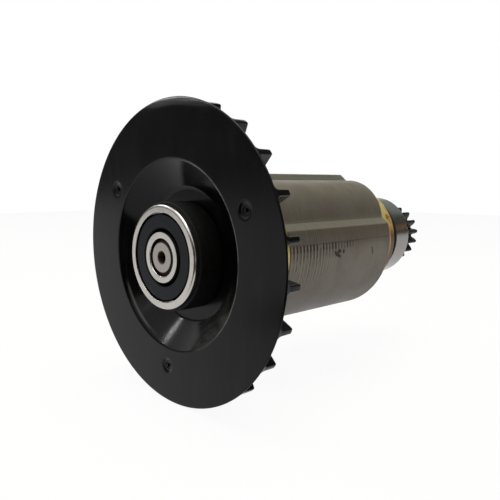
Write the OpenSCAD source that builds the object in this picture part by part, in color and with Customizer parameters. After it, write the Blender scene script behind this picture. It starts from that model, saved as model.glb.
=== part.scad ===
// Motor armature: a laminated rotor core on a steel shaft, with a moulded fan
// at the front, a gear at the rear, and a ball bearing at either end.
// The spin axis lies level along +Y. The origin is on that axis, in the plane
// of the front bearing's outer face. The modules draw along +Z and are then
// laid over, so z in a profile below is the row's y.

/* [Shaft] */
// Diameter of the shaft between its two bearings
shaft_d = 10; // [9.4:0.1:10.6]
// How far the shaft's front end sits behind the bearing face
shaft_recess = 0.15; // [0.05:0.05:0.6]
// Length of bare shaft in front of the rear bearing
neck_l = 5.1; // [2:0.1:14]
// Length of the shaft behind the gear
shaft_tail = 0.8; // [0.3:0.1:2]
// Chamfer of the front end of the shaft
shaft_front_chamfer = 0.7; // [0.2:0.1:1.0]
// Chamfer of the rear end of the shaft
shaft_rear_chamfer = 0.5; // [0.2:0.1:1.0]
// Diameter of the centre hole in each end
centre_hole_d = 2.5; // [1.5:0.1:3.0]
// Depth of the centre hole in each end
centre_hole_depth = 4; // [2:0.5:6]

/* [Bearings] */
// Bore of a bearing
bearing_bore = 8; // [7.6:0.1:8.4]
// Outside diameter of a bearing
bearing_od = 22; // [21.5:0.1:23]
// Width of a bearing
bearing_w = 7; // [6.5:0.1:8]
// Diameter of a ball
ball_d = 3.97; // [3.4:0.01:4.1]
// Balls in a bearing
balls_n = 7; // [6:1:8]
// Wall of an inner ring at its face
inner_wall = 1.36; // [1.2:0.01:1.5]
// Wall of an outer ring at its face
outer_wall = 1.58; // [1.4:0.01:1.7]
// Wall of the rubber sleeve round the front bearing
sleeve_wall = 0.5; // [0.3:0.1:1.5]
// Bright edge of the front bearing left bare by the sleeve
sleeve_set_back = 1.2; // [0.5:0.1:2]

/* [Fan] */
// Outside diameter of the fan
fan_od = 64.8; // [58:0.2:72]
// Set-back of the fan's flat face behind the bearing face
fan_set_back = 2.56; // [1.5:0.02:3.2]
// Thickness of the fan's disc at the rim
fan_disc_t = 1.2; // [0.9:0.05:1.8]
// Diameter of the edge of the fan's recess
recess_d = 40.7; // [38:0.1:46]
// Diameter of the recess floor
recess_floor_d = 28.9; // [27.5:0.1:31]
// Wall of the recess cone and its floor
recess_wall = 1.7; // [1.3:0.1:2.2]
// Outside diameter of the fan's hub
fan_hub_d = 17; // [14:0.5:20]
// Length of the fan's hub behind the recess floor
fan_hub_l = 8.6; // [7.5:0.1:14]
// Number of blades
blades_n = 24; // [16:1:30]
// Thickness of a blade
blade_t = 1.3; // [0.8:0.1:1.8]
// Radius of the fillet along each foot of a blade
blade_fillet = 1.1; // [0.5:0.1:1.4]
// Height of a blade behind the disc at the rim
blade_rim_h = 2.8; // [1.5:0.1:5]
// Angle of the first blade
blade_phase = 4.8; // [0:0.1:15]
// Radius of the circle of dimples in the fan's face
dimple_circle_r = 24.4; // [22.6:0.1:26]
// Diameter of a dimple
dimple_d = 3.4; // [2:0.1:4]
// Depth of a dimple
dimple_depth = 0.5; // [0.2:0.05:0.7]
// Angle of the first dimple
dimple_phase = -25.5; // [-60:0.5:60]

/* [Core] */
// Outside diameter of the laminated core
core_d = 35; // [34:0.1:40]
// Length of the laminated core
core_l = 37.5; // [25:0.5:60]
// Half angle of a wide pole
wide_half_angle = 57.4; // [52:0.1:60]
// Half angle of a crowned pole
crown_half_angle = 26.7; // [22:0.1:28]
// Depth of the core's outline at the ends of a crowned pole
crown_drop = 1.2; // [1:0.1:2.2]
// Angle of the wide poles
pole_phase = 39.2; // [0:0.1:90]
// Width of the seam groove along each wide pole
seam_w = 0.5; // [0.3:0.05:1]
// Angle of the seam groove from the middle of its pole
seam_angle = 46; // [30:1:50]
// Thickness of the thin end plates
end_plate_t = 1; // [0.6:0.1:2]

/* [Magnets] */
// Width of a magnet
magnet_w = 12; // [8:0.5:13]
// Thickness of a magnet
magnet_t = 2.5; // [1.5:0.1:3]
// Cover of core outside a magnet's corners
magnet_cover = 2.5; // [1.8:0.1:3.2]
// Glue gap round a magnet in its slot
glue_gap = 0.05; // [0.02:0.01:0.15]

/* [Balance rings] */
// Diameter of the balance rings
balance_ring_d = 27.4; // [24:0.2:32]
// Thickness of the front balance ring
front_ring_t = 3.4; // [2.2:0.1:4]
// Thickness of the rear balance ring
rear_ring_t = 8.6; // [3:0.1:10]
// Diameter of the balancing pit drilled in the rear ring's edge
balance_pit_d = 1.8; // [1:0.1:2]
// Depth of that pit
balance_pit_depth = 1.4; // [0.6:0.1:3]
// Distance of that pit from the ring's rear face
balance_pit_in = 1.6; // [1.4:0.1:3]
// Angle of that pit
balance_pit_angle = -27.5; // [-180:0.5:180]

/* [Gear] */
// Teeth of the gear
gear_teeth = 16; // [14:1:20]
// Module of the gear
gear_module = 0.9; // [0.8:0.01:1]
// Width of the gear's teeth
gear_face_w = 8.6; // [4:0.1:10]
// Length of the gear's hub in front of its teeth
gear_hub_l = 1.5; // [0.5:0.1:4]
// Diameter of that hub
gear_hub_d = 10.4; // [9:0.1:10.6]
// Angle of the first tooth
gear_phase = 15.4; // [0:0.1:22.5]
// Diameter of the shaft in the gear
gear_bore = 7; // [6:0.1:7.4]

/* [Hidden] */
$fn = 96;

EPS = 0.01;                // overlap of a cutting solid past the face it cuts
FULL_TURN = 360;

// Running clearances and small sizes of both bearings
ball_gap = 0.045;          // a ball to its raceways
pocket_gap = 0.06;         // a ball to its cage pocket
lip_gap = 0.08;            // a seal's lip to the inner ring
seal_sink = 0.2;           // a seal's face below the ring's face
seal_t = 0.6;
seal_seat = 1;             // depth of the step that a seal sits in
cage_gap = 0.15;           // a cage to the seal beside it
ring_chamfer = 0.4;
seal_groove_depth = 0.2;

// Places along the axis, from the front bearing's face
fan_gap = 0.5;             // the bearing to the fan's floor, which turns
floor_z = bearing_w + fan_gap;
front_ring_z = floor_z + fan_hub_l;
front_plate_z = front_ring_z + front_ring_t;
core_z = front_plate_z + end_plate_t;
rear_plate_z = core_z + core_l;
rear_ring_z = rear_plate_z + end_plate_t;
rear_z = rear_ring_z + rear_ring_t + neck_l;
gear_z = rear_z + bearing_w;
shaft_end_z = gear_z + gear_hub_l + gear_face_w + shaft_tail;

core_r = core_d / 2;
body_r = shaft_d / 2;      // the shaft between its two shoulders
tail_r = gear_bore / 2;

// A magnet's inner face, from its cover at the corners
magnet_r = sqrt(pow(core_r - magnet_cover, 2) - pow(magnet_w / 2, 2)) - magnet_t;

// Radii of a bearing
bore_r = bearing_bore / 2;
outer_r = bearing_od / 2;
ball_r = ball_d / 2;
inner_land_r = bore_r + inner_wall;
outer_land_r = outer_r - outer_wall;
pitch_r = (bore_r + outer_r) / 2;
SHOULDER = 0.36;           // a raceway's shoulders from the ball's centre, as a share of the ball
inner_shoulder_r = pitch_r - SHOULDER * ball_d;
outer_shoulder_r = pitch_r + SHOULDER * ball_d;

// Points of an arc of radius r that rounds the corner b between a and c
ARC_STEPS = 5;
function unit(v) = v / norm(v);
function turn(d) = d > 180 ? d - FULL_TURN : d < -180 ? d + FULL_TURN : d;
function arc(o, r, s, d) = [for (i = [0:ARC_STEPS]) o + r * [cos(s + d * i / ARC_STEPS), sin(s + d * i / ARC_STEPS)]];
function corner(a, b, c, r) =
    let (u = unit(a - b), v = unit(c - b), h = acos(u * v) / 2)
    let (o = b + unit(u + v) * r / sin(h), p = b + u * r / tan(h) - o, q = b + v * r / tan(h) - o)
    let (s = atan2(p.y, p.x), e = atan2(q.y, q.x))
    arc(o, r, s, turn(e - s));

// An outline from [x, y, corner radius] points
function flat(p) = [p.x, p.y];
function rounded(pts) = let (n = len(pts))
    [for (i = [0:n - 1])
        let (a = flat(pts[(i + n - 1) % n]), b = flat(pts[i]), c = flat(pts[(i + 1) % n]))
        each (pts[i][2] > 0 ? corner(a, b, c, pts[i][2]) : [b])];

// Lays what is drawn along +Z over, so that it runs along +Y from y = z
module along_axis(z = 0) rotate([-90, 0, 0]) translate([0, 0, z]) children();

// A tube with both outer edges chamfered
module tube(outer, inner, length, chamfer = 0)
    rotate_extrude() polygon([[inner, 0], [outer - chamfer, 0], [outer, chamfer],
                              [outer, length - chamfer], [outer - chamfer, length], [inner, length]]);

// Bearings

module raceway() translate([pitch_r, bearing_w / 2]) circle(r = ball_r + ball_gap, $fn = 48);

module inner_ring() rotate_extrude() difference() {
    polygon([[bore_r + ring_chamfer / 2, 0], [inner_land_r, 0], [inner_land_r, seal_seat],
             [inner_shoulder_r, seal_seat], [inner_shoulder_r, bearing_w - seal_seat],
             [inner_land_r, bearing_w - seal_seat], [inner_land_r, bearing_w],
             [bore_r + ring_chamfer / 2, bearing_w], [bore_r, bearing_w - ring_chamfer / 2],
             [bore_r, ring_chamfer / 2]]);
    raceway();
}

module outer_ring() rotate_extrude() difference() {
    polygon([[outer_land_r, 0], [outer_r - ring_chamfer, 0], [outer_r, ring_chamfer],
             [outer_r, bearing_w - ring_chamfer], [outer_r - ring_chamfer, bearing_w],
             [outer_land_r, bearing_w], [outer_land_r, bearing_w - seal_seat],
             [outer_shoulder_r, bearing_w - seal_seat], [outer_shoulder_r, seal_seat],
             [outer_land_r, seal_seat]]);
    raceway();
}

module ball_set(grow = 0)
    for (i = [0:balls_n - 1]) rotate(FULL_TURN * i / balls_n)
        translate([pitch_r, 0, bearing_w / 2]) sphere(r = ball_r + grow, $fn = 40);

CAGE_SHARE = 0.23;         // half width of the cage, as a share of the ball
module crown_cage() {
    half = CAGE_SHARE * ball_d;
    floor = seal_sink + seal_t + cage_gap;
    difference() {
        translate([0, 0, floor])
            tube(pitch_r + half, pitch_r - half, bearing_w / 2 + half - floor);
        ball_set(pocket_gap);
    }
}

module seal() {
    lip_r = inner_land_r + lip_gap;
    rim_r = outer_land_r;
    groove_r = lip_r + (rim_r - lip_r) / 6;
    rotate_extrude() polygon(rounded([
        [lip_r, seal_sink + seal_groove_depth, 0], [groove_r, seal_sink + seal_groove_depth, 0],
        [groove_r + seal_groove_depth, seal_sink, 0], [rim_r, seal_sink, 0.15],
        [rim_r, seal_sink + seal_t, 0], [lip_r, seal_sink + seal_t, 0]]));
}

// The same seal, facing the other way in its bearing
module far_seal() translate([0, 0, bearing_w]) mirror([0, 0, 1]) seal();

// Shaft and core

module centre_hole() {
    countersink = 0.35;
    cylinder(d = centre_hole_d, h = 2 * centre_hole_depth, center = true, $fn = 32);
    translate([0, 0, -EPS])
        cylinder(d1 = centre_hole_d + 2 * countersink, d2 = centre_hole_d, h = countersink, $fn = 32);
}

module shaft_blank() rotate_extrude() polygon([
    [0, shaft_recess], [bore_r - shaft_front_chamfer, shaft_recess],
    [bore_r, shaft_recess + shaft_front_chamfer], [bore_r, bearing_w], [body_r, bearing_w],
    [body_r, rear_z], [bore_r, rear_z], [bore_r, gear_z], [tail_r, gear_z],
    [tail_r, shaft_end_z - shaft_rear_chamfer], [tail_r - shaft_rear_chamfer, shaft_end_z],
    [0, shaft_end_z]]);

module shaft() color([0.72, 0.72, 0.73]) along_axis() difference() {
    shaft_blank();
    translate([0, 0, shaft_recess]) centre_hole();
    translate([0, 0, shaft_end_z]) mirror([0, 0, 1]) centre_hole();
}

// Outline of the core and its end plates: wide poles along x, crowned poles along y
module pole_outline() {
    wide_end = core_r * [cos(wide_half_angle), sin(wide_half_angle)];
    crown_end = (core_r - crown_drop) * [sin(crown_half_angle), cos(crown_half_angle)];
    crown_rise = core_r - crown_end.y;
    crown_r = (crown_end.x * crown_end.x + crown_rise * crown_rise) / (2 * crown_rise);
    // The crown's foot reaches a little way into the body, so that the two are one
    crown_foot = [crown_end.x / 2, crown_end.y - crown_drop];
    upper_half = [[core_d, 0], [core_d, wide_end.y], wide_end, crown_end];
    intersection() {
        circle(r = core_r, $fn = 180);
        polygon([for (hand = [[1, 1], [-1, 1], [-1, -1], [1, -1]])
            each [for (k = [0:3]) let (p = upper_half[hand.x * hand.y > 0 ? k : 3 - k]) [p.x * hand.x, p.y * hand.y]]]);
    }
    for (side = [0, 180]) rotate(side) intersection() {
        translate([0, core_r - crown_r]) circle(r = crown_r, $fn = 120);
        polygon([crown_foot, crown_end, [crown_end.x, core_d], [-crown_end.x, core_d],
                 [-crown_end.x, crown_end.y], [-crown_foot.x, crown_foot.y]]);
    }
}

module core_seams() {
    for (side = [0, 180], hand = [-1, 1]) rotate(side + hand * seam_angle)
        translate([core_r, 0]) circle(d = seam_w, $fn = 16);
}

module magnet_bar(gap = 0)
    translate([magnet_r - gap, -magnet_w / 2 - gap]) square([magnet_t + 2 * gap, magnet_w + 2 * gap]);

module rotor_core() color([0.47, 0.45, 0.41]) along_axis(core_z) linear_extrude(core_l)
    rotate(pole_phase) difference() {
        pole_outline();
        circle(r = body_r);
        core_seams();
        for (quarter = [0:3]) rotate(90 * quarter) magnet_bar(glue_gap);
    }

module magnet(index) color([0.30, 0.30, 0.32]) along_axis(core_z)
    rotate(pole_phase + 90 * (index - 1)) linear_extrude(core_l) magnet_bar();

module magnet_1() magnet(1);
module magnet_2() magnet(2);
module magnet_3() magnet(3);
module magnet_4() magnet(4);

module end_plate() linear_extrude(end_plate_t)
    rotate(pole_phase) difference() {
        pole_outline();
        circle(r = body_r);
    }

module front_end_plate() color([0.84, 0.68, 0.30]) along_axis(front_plate_z) end_plate();
module rear_end_plate() color([0.47, 0.45, 0.41]) along_axis(rear_plate_z) end_plate();

balance_ring_chamfer = 0.4;
module balance_ring(t) color([0.85, 0.66, 0.28])
    tube(balance_ring_d / 2, body_r, t, balance_ring_chamfer);

module front_balance_ring() along_axis(front_ring_z) balance_ring(front_ring_t);

module rear_balance_ring() color([0.85, 0.66, 0.28]) along_axis(rear_ring_z) difference() {
    balance_ring(rear_ring_t);
    rotate(balance_pit_angle) translate([balance_ring_d / 2 - balance_pit_depth, 0, rear_ring_t - balance_pit_in])
        rotate([0, 90, 0]) cylinder(d = balance_pit_d, h = 2 * balance_pit_depth, $fn = 24);
}

// Fan

fan_r = fan_od / 2;
hub_r = fan_hub_d / 2;
disc_back_z = fan_set_back + fan_disc_t;
floor_back_z = floor_z + recess_wall;
blade_root_r = hub_r - 0.5;       // sunk into the hub
blade_end_r = fan_r - 0.15;
blade_knee_r = recess_d / 2;
blade_knee_rise = 2.5;
blade_top_z = front_ring_z - 0.8;
blade_top_in = 3;                 // flat top of a blade beside the hub

module fan_dish() {
    rim_round = 0.5;
    lip_round = 0.8;
    foot_round = 1.2;
    rotate_extrude() polygon(rounded([
        [body_r, floor_z, 0], [recess_floor_d / 2, floor_z, foot_round],
        [recess_d / 2, fan_set_back, lip_round], [fan_r, fan_set_back, rim_round],
        [fan_r, disc_back_z, 0], [recess_d / 2 + recess_wall / 2, disc_back_z, lip_round],
        [recess_floor_d / 2 + recess_wall / 2, floor_back_z, foot_round],
        [hub_r, floor_back_z, 0.8], [hub_r, front_ring_z, 0.3], [body_r, front_ring_z, 0]]));
}

// Side view of a blade, radius along x and the axis along y
module blade_profile() {
    tip_z = disc_back_z + blade_rim_h;
    skin = fan_disc_t / 2;
    polygon([
        [blade_root_r, floor_z + skin], [recess_floor_d / 2, floor_z + skin],
        [recess_d / 2, fan_set_back + skin], [blade_end_r, fan_set_back + skin],
        [blade_end_r, tip_z], [blade_knee_r, tip_z + blade_knee_rise],
        [hub_r + blade_top_in, blade_top_z], [blade_root_r, blade_top_z]]);
}

// Section of a blade across its length, flared to the disc by two fillets
module blade_section() {
    half = blade_t / 2;
    foot_z = disc_back_z;
    steps = [0:4];
    step_angle = 22.5;
    polygon(concat(
        [[fan_set_back, -half - blade_fillet]],
        [for (i = steps) [foot_z + blade_fillet * (1 - cos(step_angle * i)),
                          -half - blade_fillet * (1 - sin(step_angle * i))]],
        [[front_ring_z, -half], [front_ring_z, half]],
        [for (i = steps) [foot_z + blade_fillet * (1 - sin(step_angle * i)),
                          half + blade_fillet * (1 - cos(step_angle * i))]],
        [[fan_set_back, half + blade_fillet]]));
}

module fan_blade() intersection() {
    translate([blade_root_r - EPS, 0, 0]) rotate([0, -90, 180])
        linear_extrude(fan_r - blade_root_r) blade_section();
    rotate([90, 0, 0]) translate([0, 0, -blade_t - blade_fillet])
        linear_extrude(2 * (blade_t + blade_fillet)) blade_profile();
}

module fan_blades()
    for (i = [0:blades_n - 1]) rotate(blade_phase + FULL_TURN * i / blades_n) fan_blade();

module dimple() {
    nub_r = dimple_d / 8;
    top = EPS;
    rotate_extrude($fn = 32) polygon([[nub_r, -top], [dimple_d / 2, -top], [dimple_d / 2.6, dimple_depth],
                            [nub_r * 1.6, dimple_depth], [nub_r, dimple_depth / 2]]);
}

module fan() color([0.13, 0.13, 0.14]) along_axis() difference() {
    union() {
        fan_dish();
        fan_blades();
    }
    for (i = [0:2]) rotate(dimple_phase + 120 * i)
        translate([dimple_circle_r, 0, fan_set_back]) dimple();
}

// Bearing parts

module bearing_sleeve() color([0.08, 0.08, 0.08]) along_axis(sleeve_set_back)
    tube(outer_r + sleeve_wall, outer_r, bearing_w - sleeve_set_back, 0.2);

module front_outer_ring() color([0.78, 0.77, 0.75]) along_axis() outer_ring();
module front_inner_ring() color([0.78, 0.77, 0.75]) along_axis() inner_ring();
module front_balls() color([0.85, 0.85, 0.86]) along_axis() ball_set();
module front_cage() color([0.55, 0.42, 0.25]) along_axis() crown_cage();
module front_bearing_seal() color([0.18, 0.18, 0.20]) along_axis() seal();
module front_bearing_inner_seal() color([0.18, 0.18, 0.20]) along_axis() far_seal();

module rear_outer_ring() color([0.78, 0.77, 0.75]) along_axis(rear_z) outer_ring();
module rear_inner_ring() color([0.78, 0.77, 0.75]) along_axis(rear_z) inner_ring();
module rear_balls() color([0.85, 0.85, 0.86]) along_axis(rear_z) ball_set();
module rear_cage() color([0.55, 0.42, 0.25]) along_axis(rear_z) crown_cage();
module rear_bearing_inner_seal() color([0.18, 0.18, 0.20]) along_axis(rear_z) seal();
module rear_bearing_seal() color([0.18, 0.18, 0.20]) along_axis(rear_z) far_seal();

// Gear, with involute flanks

pressure_angle = 20;
gear_pitch_r = gear_module * gear_teeth / 2;
gear_base_r = gear_pitch_r * cos(pressure_angle);
gear_tip_r = gear_pitch_r + gear_module;
gear_root_r = gear_pitch_r - 1.25 * gear_module;
function involute(r) = let (a = acos(gear_base_r / r)) tan(a) * 180 / PI - a;
function tooth_half_angle(r) = 90 / gear_teeth + involute(gear_pitch_r) - involute(r);
function polar(r, a) = r * [cos(a), sin(a)];

module gear_outline() {
    flank = [gear_base_r, gear_pitch_r, (gear_pitch_r + gear_tip_r) / 2, gear_tip_r];
    root_half = tooth_half_angle(gear_base_r);
    polygon([for (i = [0:gear_teeth - 1]) let (mid = FULL_TURN * i / gear_teeth)
        each concat(
            [polar(gear_root_r, mid - root_half)],
            [for (r = flank) polar(r, mid - tooth_half_angle(r))],
            [for (k = [len(flank) - 1:-1:0]) polar(flank[k], mid + tooth_half_angle(flank[k]))],
            [polar(gear_root_r, mid + root_half)])]);
}

module drive_gear() color([0.10, 0.11, 0.12]) along_axis(gear_z) difference() {
    union() {
        cylinder(d = gear_hub_d, h = gear_hub_l + EPS);
        translate([0, 0, gear_hub_l]) rotate(gear_phase) linear_extrude(gear_face_w) gear_outline();
    }
    translate([0, 0, -EPS]) cylinder(r = tail_r, h = gear_hub_l + gear_face_w + 2 * EPS);
}

shaft();
rotor_core();
magnet_1();
magnet_2();
magnet_3();
magnet_4();
front_end_plate();
rear_end_plate();
front_balance_ring();
rear_balance_ring();
fan();
bearing_sleeve();
front_outer_ring();
front_inner_ring();
front_balls();
front_cage();
front_bearing_seal();
front_bearing_inner_seal();
rear_outer_ring();
rear_inner_ring();
rear_balls();
rear_cage();
rear_bearing_seal();
rear_bearing_inner_seal();
drive_gear();
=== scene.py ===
"""Motor armature: a magnet rotor with a moulded fan, dressed for its photograph.

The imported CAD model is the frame: the spin axis lies level along +Y, the origin
is in the plane of the front bearing's face, and every Blender object is in
metres. Sizes inside the classes are in millimetres, as in the CAD source.
"""
import enum
import logging
import math
from dataclasses import dataclass
from typing import ClassVar, Mapping, Sequence

import bmesh
import bpy
from mathutils import Matrix, Vector
from mathutils.geometry import tessellate_polygon


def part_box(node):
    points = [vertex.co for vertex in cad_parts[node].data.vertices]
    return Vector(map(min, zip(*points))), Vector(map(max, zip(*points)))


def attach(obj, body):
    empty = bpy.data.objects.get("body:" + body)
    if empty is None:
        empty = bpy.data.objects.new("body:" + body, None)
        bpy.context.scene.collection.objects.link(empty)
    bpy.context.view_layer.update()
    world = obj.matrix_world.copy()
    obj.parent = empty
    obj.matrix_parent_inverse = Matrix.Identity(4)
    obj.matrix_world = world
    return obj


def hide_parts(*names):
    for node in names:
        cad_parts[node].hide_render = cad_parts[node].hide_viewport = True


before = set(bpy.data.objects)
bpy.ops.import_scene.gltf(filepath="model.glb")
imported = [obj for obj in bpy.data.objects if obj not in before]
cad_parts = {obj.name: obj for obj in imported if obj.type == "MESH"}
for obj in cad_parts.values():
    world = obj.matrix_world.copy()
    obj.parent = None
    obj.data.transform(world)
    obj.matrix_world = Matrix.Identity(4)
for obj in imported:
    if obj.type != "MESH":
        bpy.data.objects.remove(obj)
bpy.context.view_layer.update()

LOG = logging.getLogger("armature")

MM = 0.001
SHARP = 32.0  # degrees above which an edge stays sharp
GUARD = 0.25
TINY = 1e-6
WHITE = (1.0, 1.0, 1.0)
# Black of the painted shade that the finishes' unlit share mixes in
SHADE_BLACK = (0.0015, 0.0012, 0.0010)  # inside a gap that light hardly reaches

Colour = tuple[float, float, float]
Corner = tuple[float, float, float]
Point = tuple[float, float]
Band = tuple[float, float, float, float]


# --- Shader trees -----------------------------------------------------------

class Wire:
    """An output socket of a shader tree that takes part in Python sums."""

    def __init__(self, tree: "ShaderTree", socket: bpy.types.NodeSocket) -> None:
        """Keep the socket and the tree that new nodes go into."""
        self.tree = tree
        self.socket = socket

    def __add__(self, other: "Wire | float") -> "Wire":
        """Sum."""
        return self.tree.math("ADD", self, other)

    __radd__ = __add__

    def __sub__(self, other: "Wire | float") -> "Wire":
        """Difference."""
        return self.tree.math("SUBTRACT", self, other)

    def __rsub__(self, other: float) -> "Wire":
        """Difference from a number."""
        return self.tree.math("SUBTRACT", other, self)

    def __mul__(self, other: "Wire | float") -> "Wire":
        """Product."""
        return self.tree.math("MULTIPLY", self, other)

    __rmul__ = __mul__

    def __truediv__(self, other: "Wire | float") -> "Wire":
        """Quotient."""
        return self.tree.math("DIVIDE", self, other)

    def __rtruediv__(self, other: float) -> "Wire":
        """Quotient of a number by this."""
        return self.tree.math("DIVIDE", other, self)

    def __abs__(self) -> "Wire":
        """Size without sign."""
        return self.tree.math("ABSOLUTE", self)

    def root(self) -> "Wire":
        """Square root."""
        return self.tree.math("SQRT", self)

    def at_most(self, other: "Wire | float") -> "Wire":
        """The lower of the two."""
        return self.tree.math("MINIMUM", self, other)

    def at_least(self, other: "Wire | float") -> "Wire":
        """The higher of the two."""
        return self.tree.math("MAXIMUM", self, other)

    def floor(self) -> "Wire":
        """Whole part."""
        return self.tree.math("FLOOR", self)

    def fraction(self) -> "Wire":
        """Part after the point."""
        return self.tree.math("FRACT", self)

    def rise(self, start: float, end: float) -> "Wire":
        """Smooth step from 0 at start to 1 at end.

        Args:
            start: Value where the step begins; may be above end for a fall.
            end: Value where the step is complete.

        Returns:
            A number from 0 to 1.
        """
        return self.tree.wire(
            "ShaderNodeMapRange",
            {"interpolation_type": "SMOOTHSTEP", "clamp": True},
            {"Value": self, "From Min": start, "From Max": end, "To Min": 0.0, "To Max": 1.0},
        )

    def band(self, start: float, full: float, fall: float, end: float) -> "Wire":
        """A soft band: 0 up to start, 1 from full to fall, and 0 again from end."""
        return self.rise(start, full) * self.rise(end, fall)


class ShaderTree:
    """Adds nodes to the tree of one material or of the world."""

    def __init__(
        self, owner: bpy.types.Material | bpy.types.World, output: str = "ShaderNodeOutputMaterial",
    ) -> None:
        """Start from an empty tree with only its output.

        Args:
            owner: What the tree belongs to.
            output: Type of the tree's output node.
        """
        owner.use_nodes = True
        self.tree = owner.node_tree
        self.tree.nodes.clear()
        self.output = self.tree.nodes.new(output)

    def node(
        self,
        kind: str,
        settings: Mapping[str, object] | None = None,
        inputs: Mapping[str | int, object] | None = None,
    ) -> bpy.types.Node:
        """Add a node.

        Args:
            kind: The node's type.
            settings: Its properties, set first.
            inputs: Values, wires or sockets for its inputs, by name or index.

        Returns:
            The new node.
        """
        node = self.tree.nodes.new(kind)
        for key, value in (settings or {}).items():
            setattr(node, key, value)
        for key, value in (inputs or {}).items():
            self.feed(node.inputs[key], value)
        return node

    def feed(self, socket: bpy.types.NodeSocket, value: object) -> None:
        """Link or set one input socket.

        Args:
            socket: The input.
            value: A wire or socket to link, a colour, or a plain value.
        """
        if isinstance(value, (Wire, bpy.types.NodeSocket)):
            self.tree.links.new(getattr(value, "socket", value), socket)
        elif socket.type == "RGBA" and len(value) == 3:
            socket.default_value = (*value, 1.0)
        else:
            socket.default_value = value

    def wire(
        self,
        kind: str,
        settings: Mapping[str, object] | None = None,
        inputs: Mapping[str | int, object] | None = None,
        output: str | int = 0,
    ) -> Wire:
        """Add a node and return one of its outputs, by name or index."""
        return Wire(self, self.node(kind, settings, inputs).outputs[output])

    def math(self, operation: str, *values: "Wire | float") -> Wire:
        """Add one Math node on one or two values."""
        return self.wire("ShaderNodeMath", {"operation": operation}, dict(enumerate(values)))

    def place(self) -> Wire:
        """Object coordinates in millimetres, which are the row frame's."""
        inputs = {0: self.wire("ShaderNodeTexCoord", output="Object"), "Scale": 1 / MM}
        return self.wire("ShaderNodeVectorMath", {"operation": "SCALE"}, inputs)

    def parts(self, vector: Wire) -> tuple[Wire, Wire, Wire]:
        """The x, y and z of a vector."""
        split = self.node("ShaderNodeSeparateXYZ", None, {0: vector})
        return tuple(Wire(self, socket) for socket in split.outputs)

    def cylinder(self) -> tuple[Wire, Wire, Wire]:
        """Cylinder coordinates about the spin axis.

        Returns:
            Radius in millimetres, place along the axis in millimetres, and the
            elevation round the axis in degrees, 0 at +X and 90 at +Z.
        """
        x, y, z = self.parts(self.place())
        return (x * x + z * z).root(), y, self.math("ARCTAN2", z, x) * math.degrees(1.0)

    def join(self, x: "Wire | float", y: "Wire | float", z: "Wire | float") -> Wire:
        """A vector from three numbers."""
        return self.wire("ShaderNodeCombineXYZ", None, {0: x, 1: y, 2: z})

    def noise(self, place: Wire, scale: float, detail: float = 2.0, rough: float = 0.5) -> Wire:
        """Soft noise in three dimensions.

        Args:
            place: Where it is read.
            scale: Waves per unit of the place.
            detail: Octaves of finer noise.
            rough: Share of each finer octave.

        Returns:
            A number from 0 to 1.
        """
        return self.wire(
            "ShaderNodeTexNoise", {"noise_dimensions": "3D"},
            {"Vector": place, "Scale": scale, "Detail": detail, "Roughness": rough}, "Fac",
        )

    def blend(self, share: "Wire | float", first: object, second: object) -> Wire:
        """Mix two colours.

        Args:
            share: Share of the second, from 0 to 1.
            first: One colour, as a wire or a value.
            second: The other.

        Returns:
            The mixed colour.
        """
        return self.wire(
            "ShaderNodeMix", {"data_type": "RGBA"}, {0: share, 6: first, 7: second}, 2,
        )

    def chance(self, number: Wire) -> Wire:
        """A random value from 0 to 1 for each number."""
        settings = {"noise_dimensions": "1D"}
        return self.wire("ShaderNodeTexWhiteNoise", settings, {"W": number}, "Value")

    def bump(self, height: Wire, depth: float, below: Wire | None = None) -> Wire:
        """Relief in the shading.

        Args:
            height: Height of the relief, from 0 to 1.
            depth: What a height of 1 is, in millimetres.
            below: The relief that it lies on, if any.

        Returns:
            The shading normal.
        """
        inputs = {"Height": height, "Distance": depth * MM, "Strength": 1.0}
        if below is not None:
            inputs["Normal"] = below
        return self.wire("ShaderNodeBump", None, inputs)

    def surface(self, inputs: Mapping[str, object], unlit: Wire | None = None) -> None:
        """End the tree in a Principled shader.

        Args:
            inputs: The shader's inputs.
            unlit: Share of painted shade, a black matt shader that gives no gloss, where there is
                one.
        """
        shader = self.node("ShaderNodeBsdfPrincipled", None, inputs)
        if unlit is not None:
            # Painted shade: a black matt shader mixed in by the unlit share
            gap = self.node("ShaderNodeBsdfDiffuse", None, {"Color": SHADE_BLACK})
            shader = self.either(unlit, shader, gap)
        self.end(shader)

    def either(self, share: Wire, first: bpy.types.Node, second: bpy.types.Node) -> bpy.types.Node:
        """Mix two shaders by a share of the second."""
        inputs = {0: share, 1: first.outputs[0], 2: second.outputs[0]}
        return self.node("ShaderNodeMixShader", None, inputs)

    def end(self, shader: bpy.types.Node) -> None:
        """Link a shader to the tree's output."""
        self.feed(self.output.inputs["Surface"], shader.outputs[0])


def tone(colour: Colour, factor: float) -> Colour:
    """A colour made lighter or darker."""
    return tuple(min(1.0, channel * factor) for channel in colour)


# --- Finishes ---------------------------------------------------------------

@dataclass(frozen=True)
class Finish:
    """A surface finish, made once and shared by the pieces that have it."""

    name: str
    slot: str

    def material(self) -> bpy.types.Material:
        """The finish's material, built on first use.

        Returns:
            The material.
        """
        found = bpy.data.materials.get(self.name)
        if found is None:
            found = bpy.data.materials.new(self.name)
            self.paint(ShaderTree(found))
        return found

    def paint(self, tree: ShaderTree) -> None:
        """Build the shader; each finish has its own."""
        raise NotImplementedError


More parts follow.
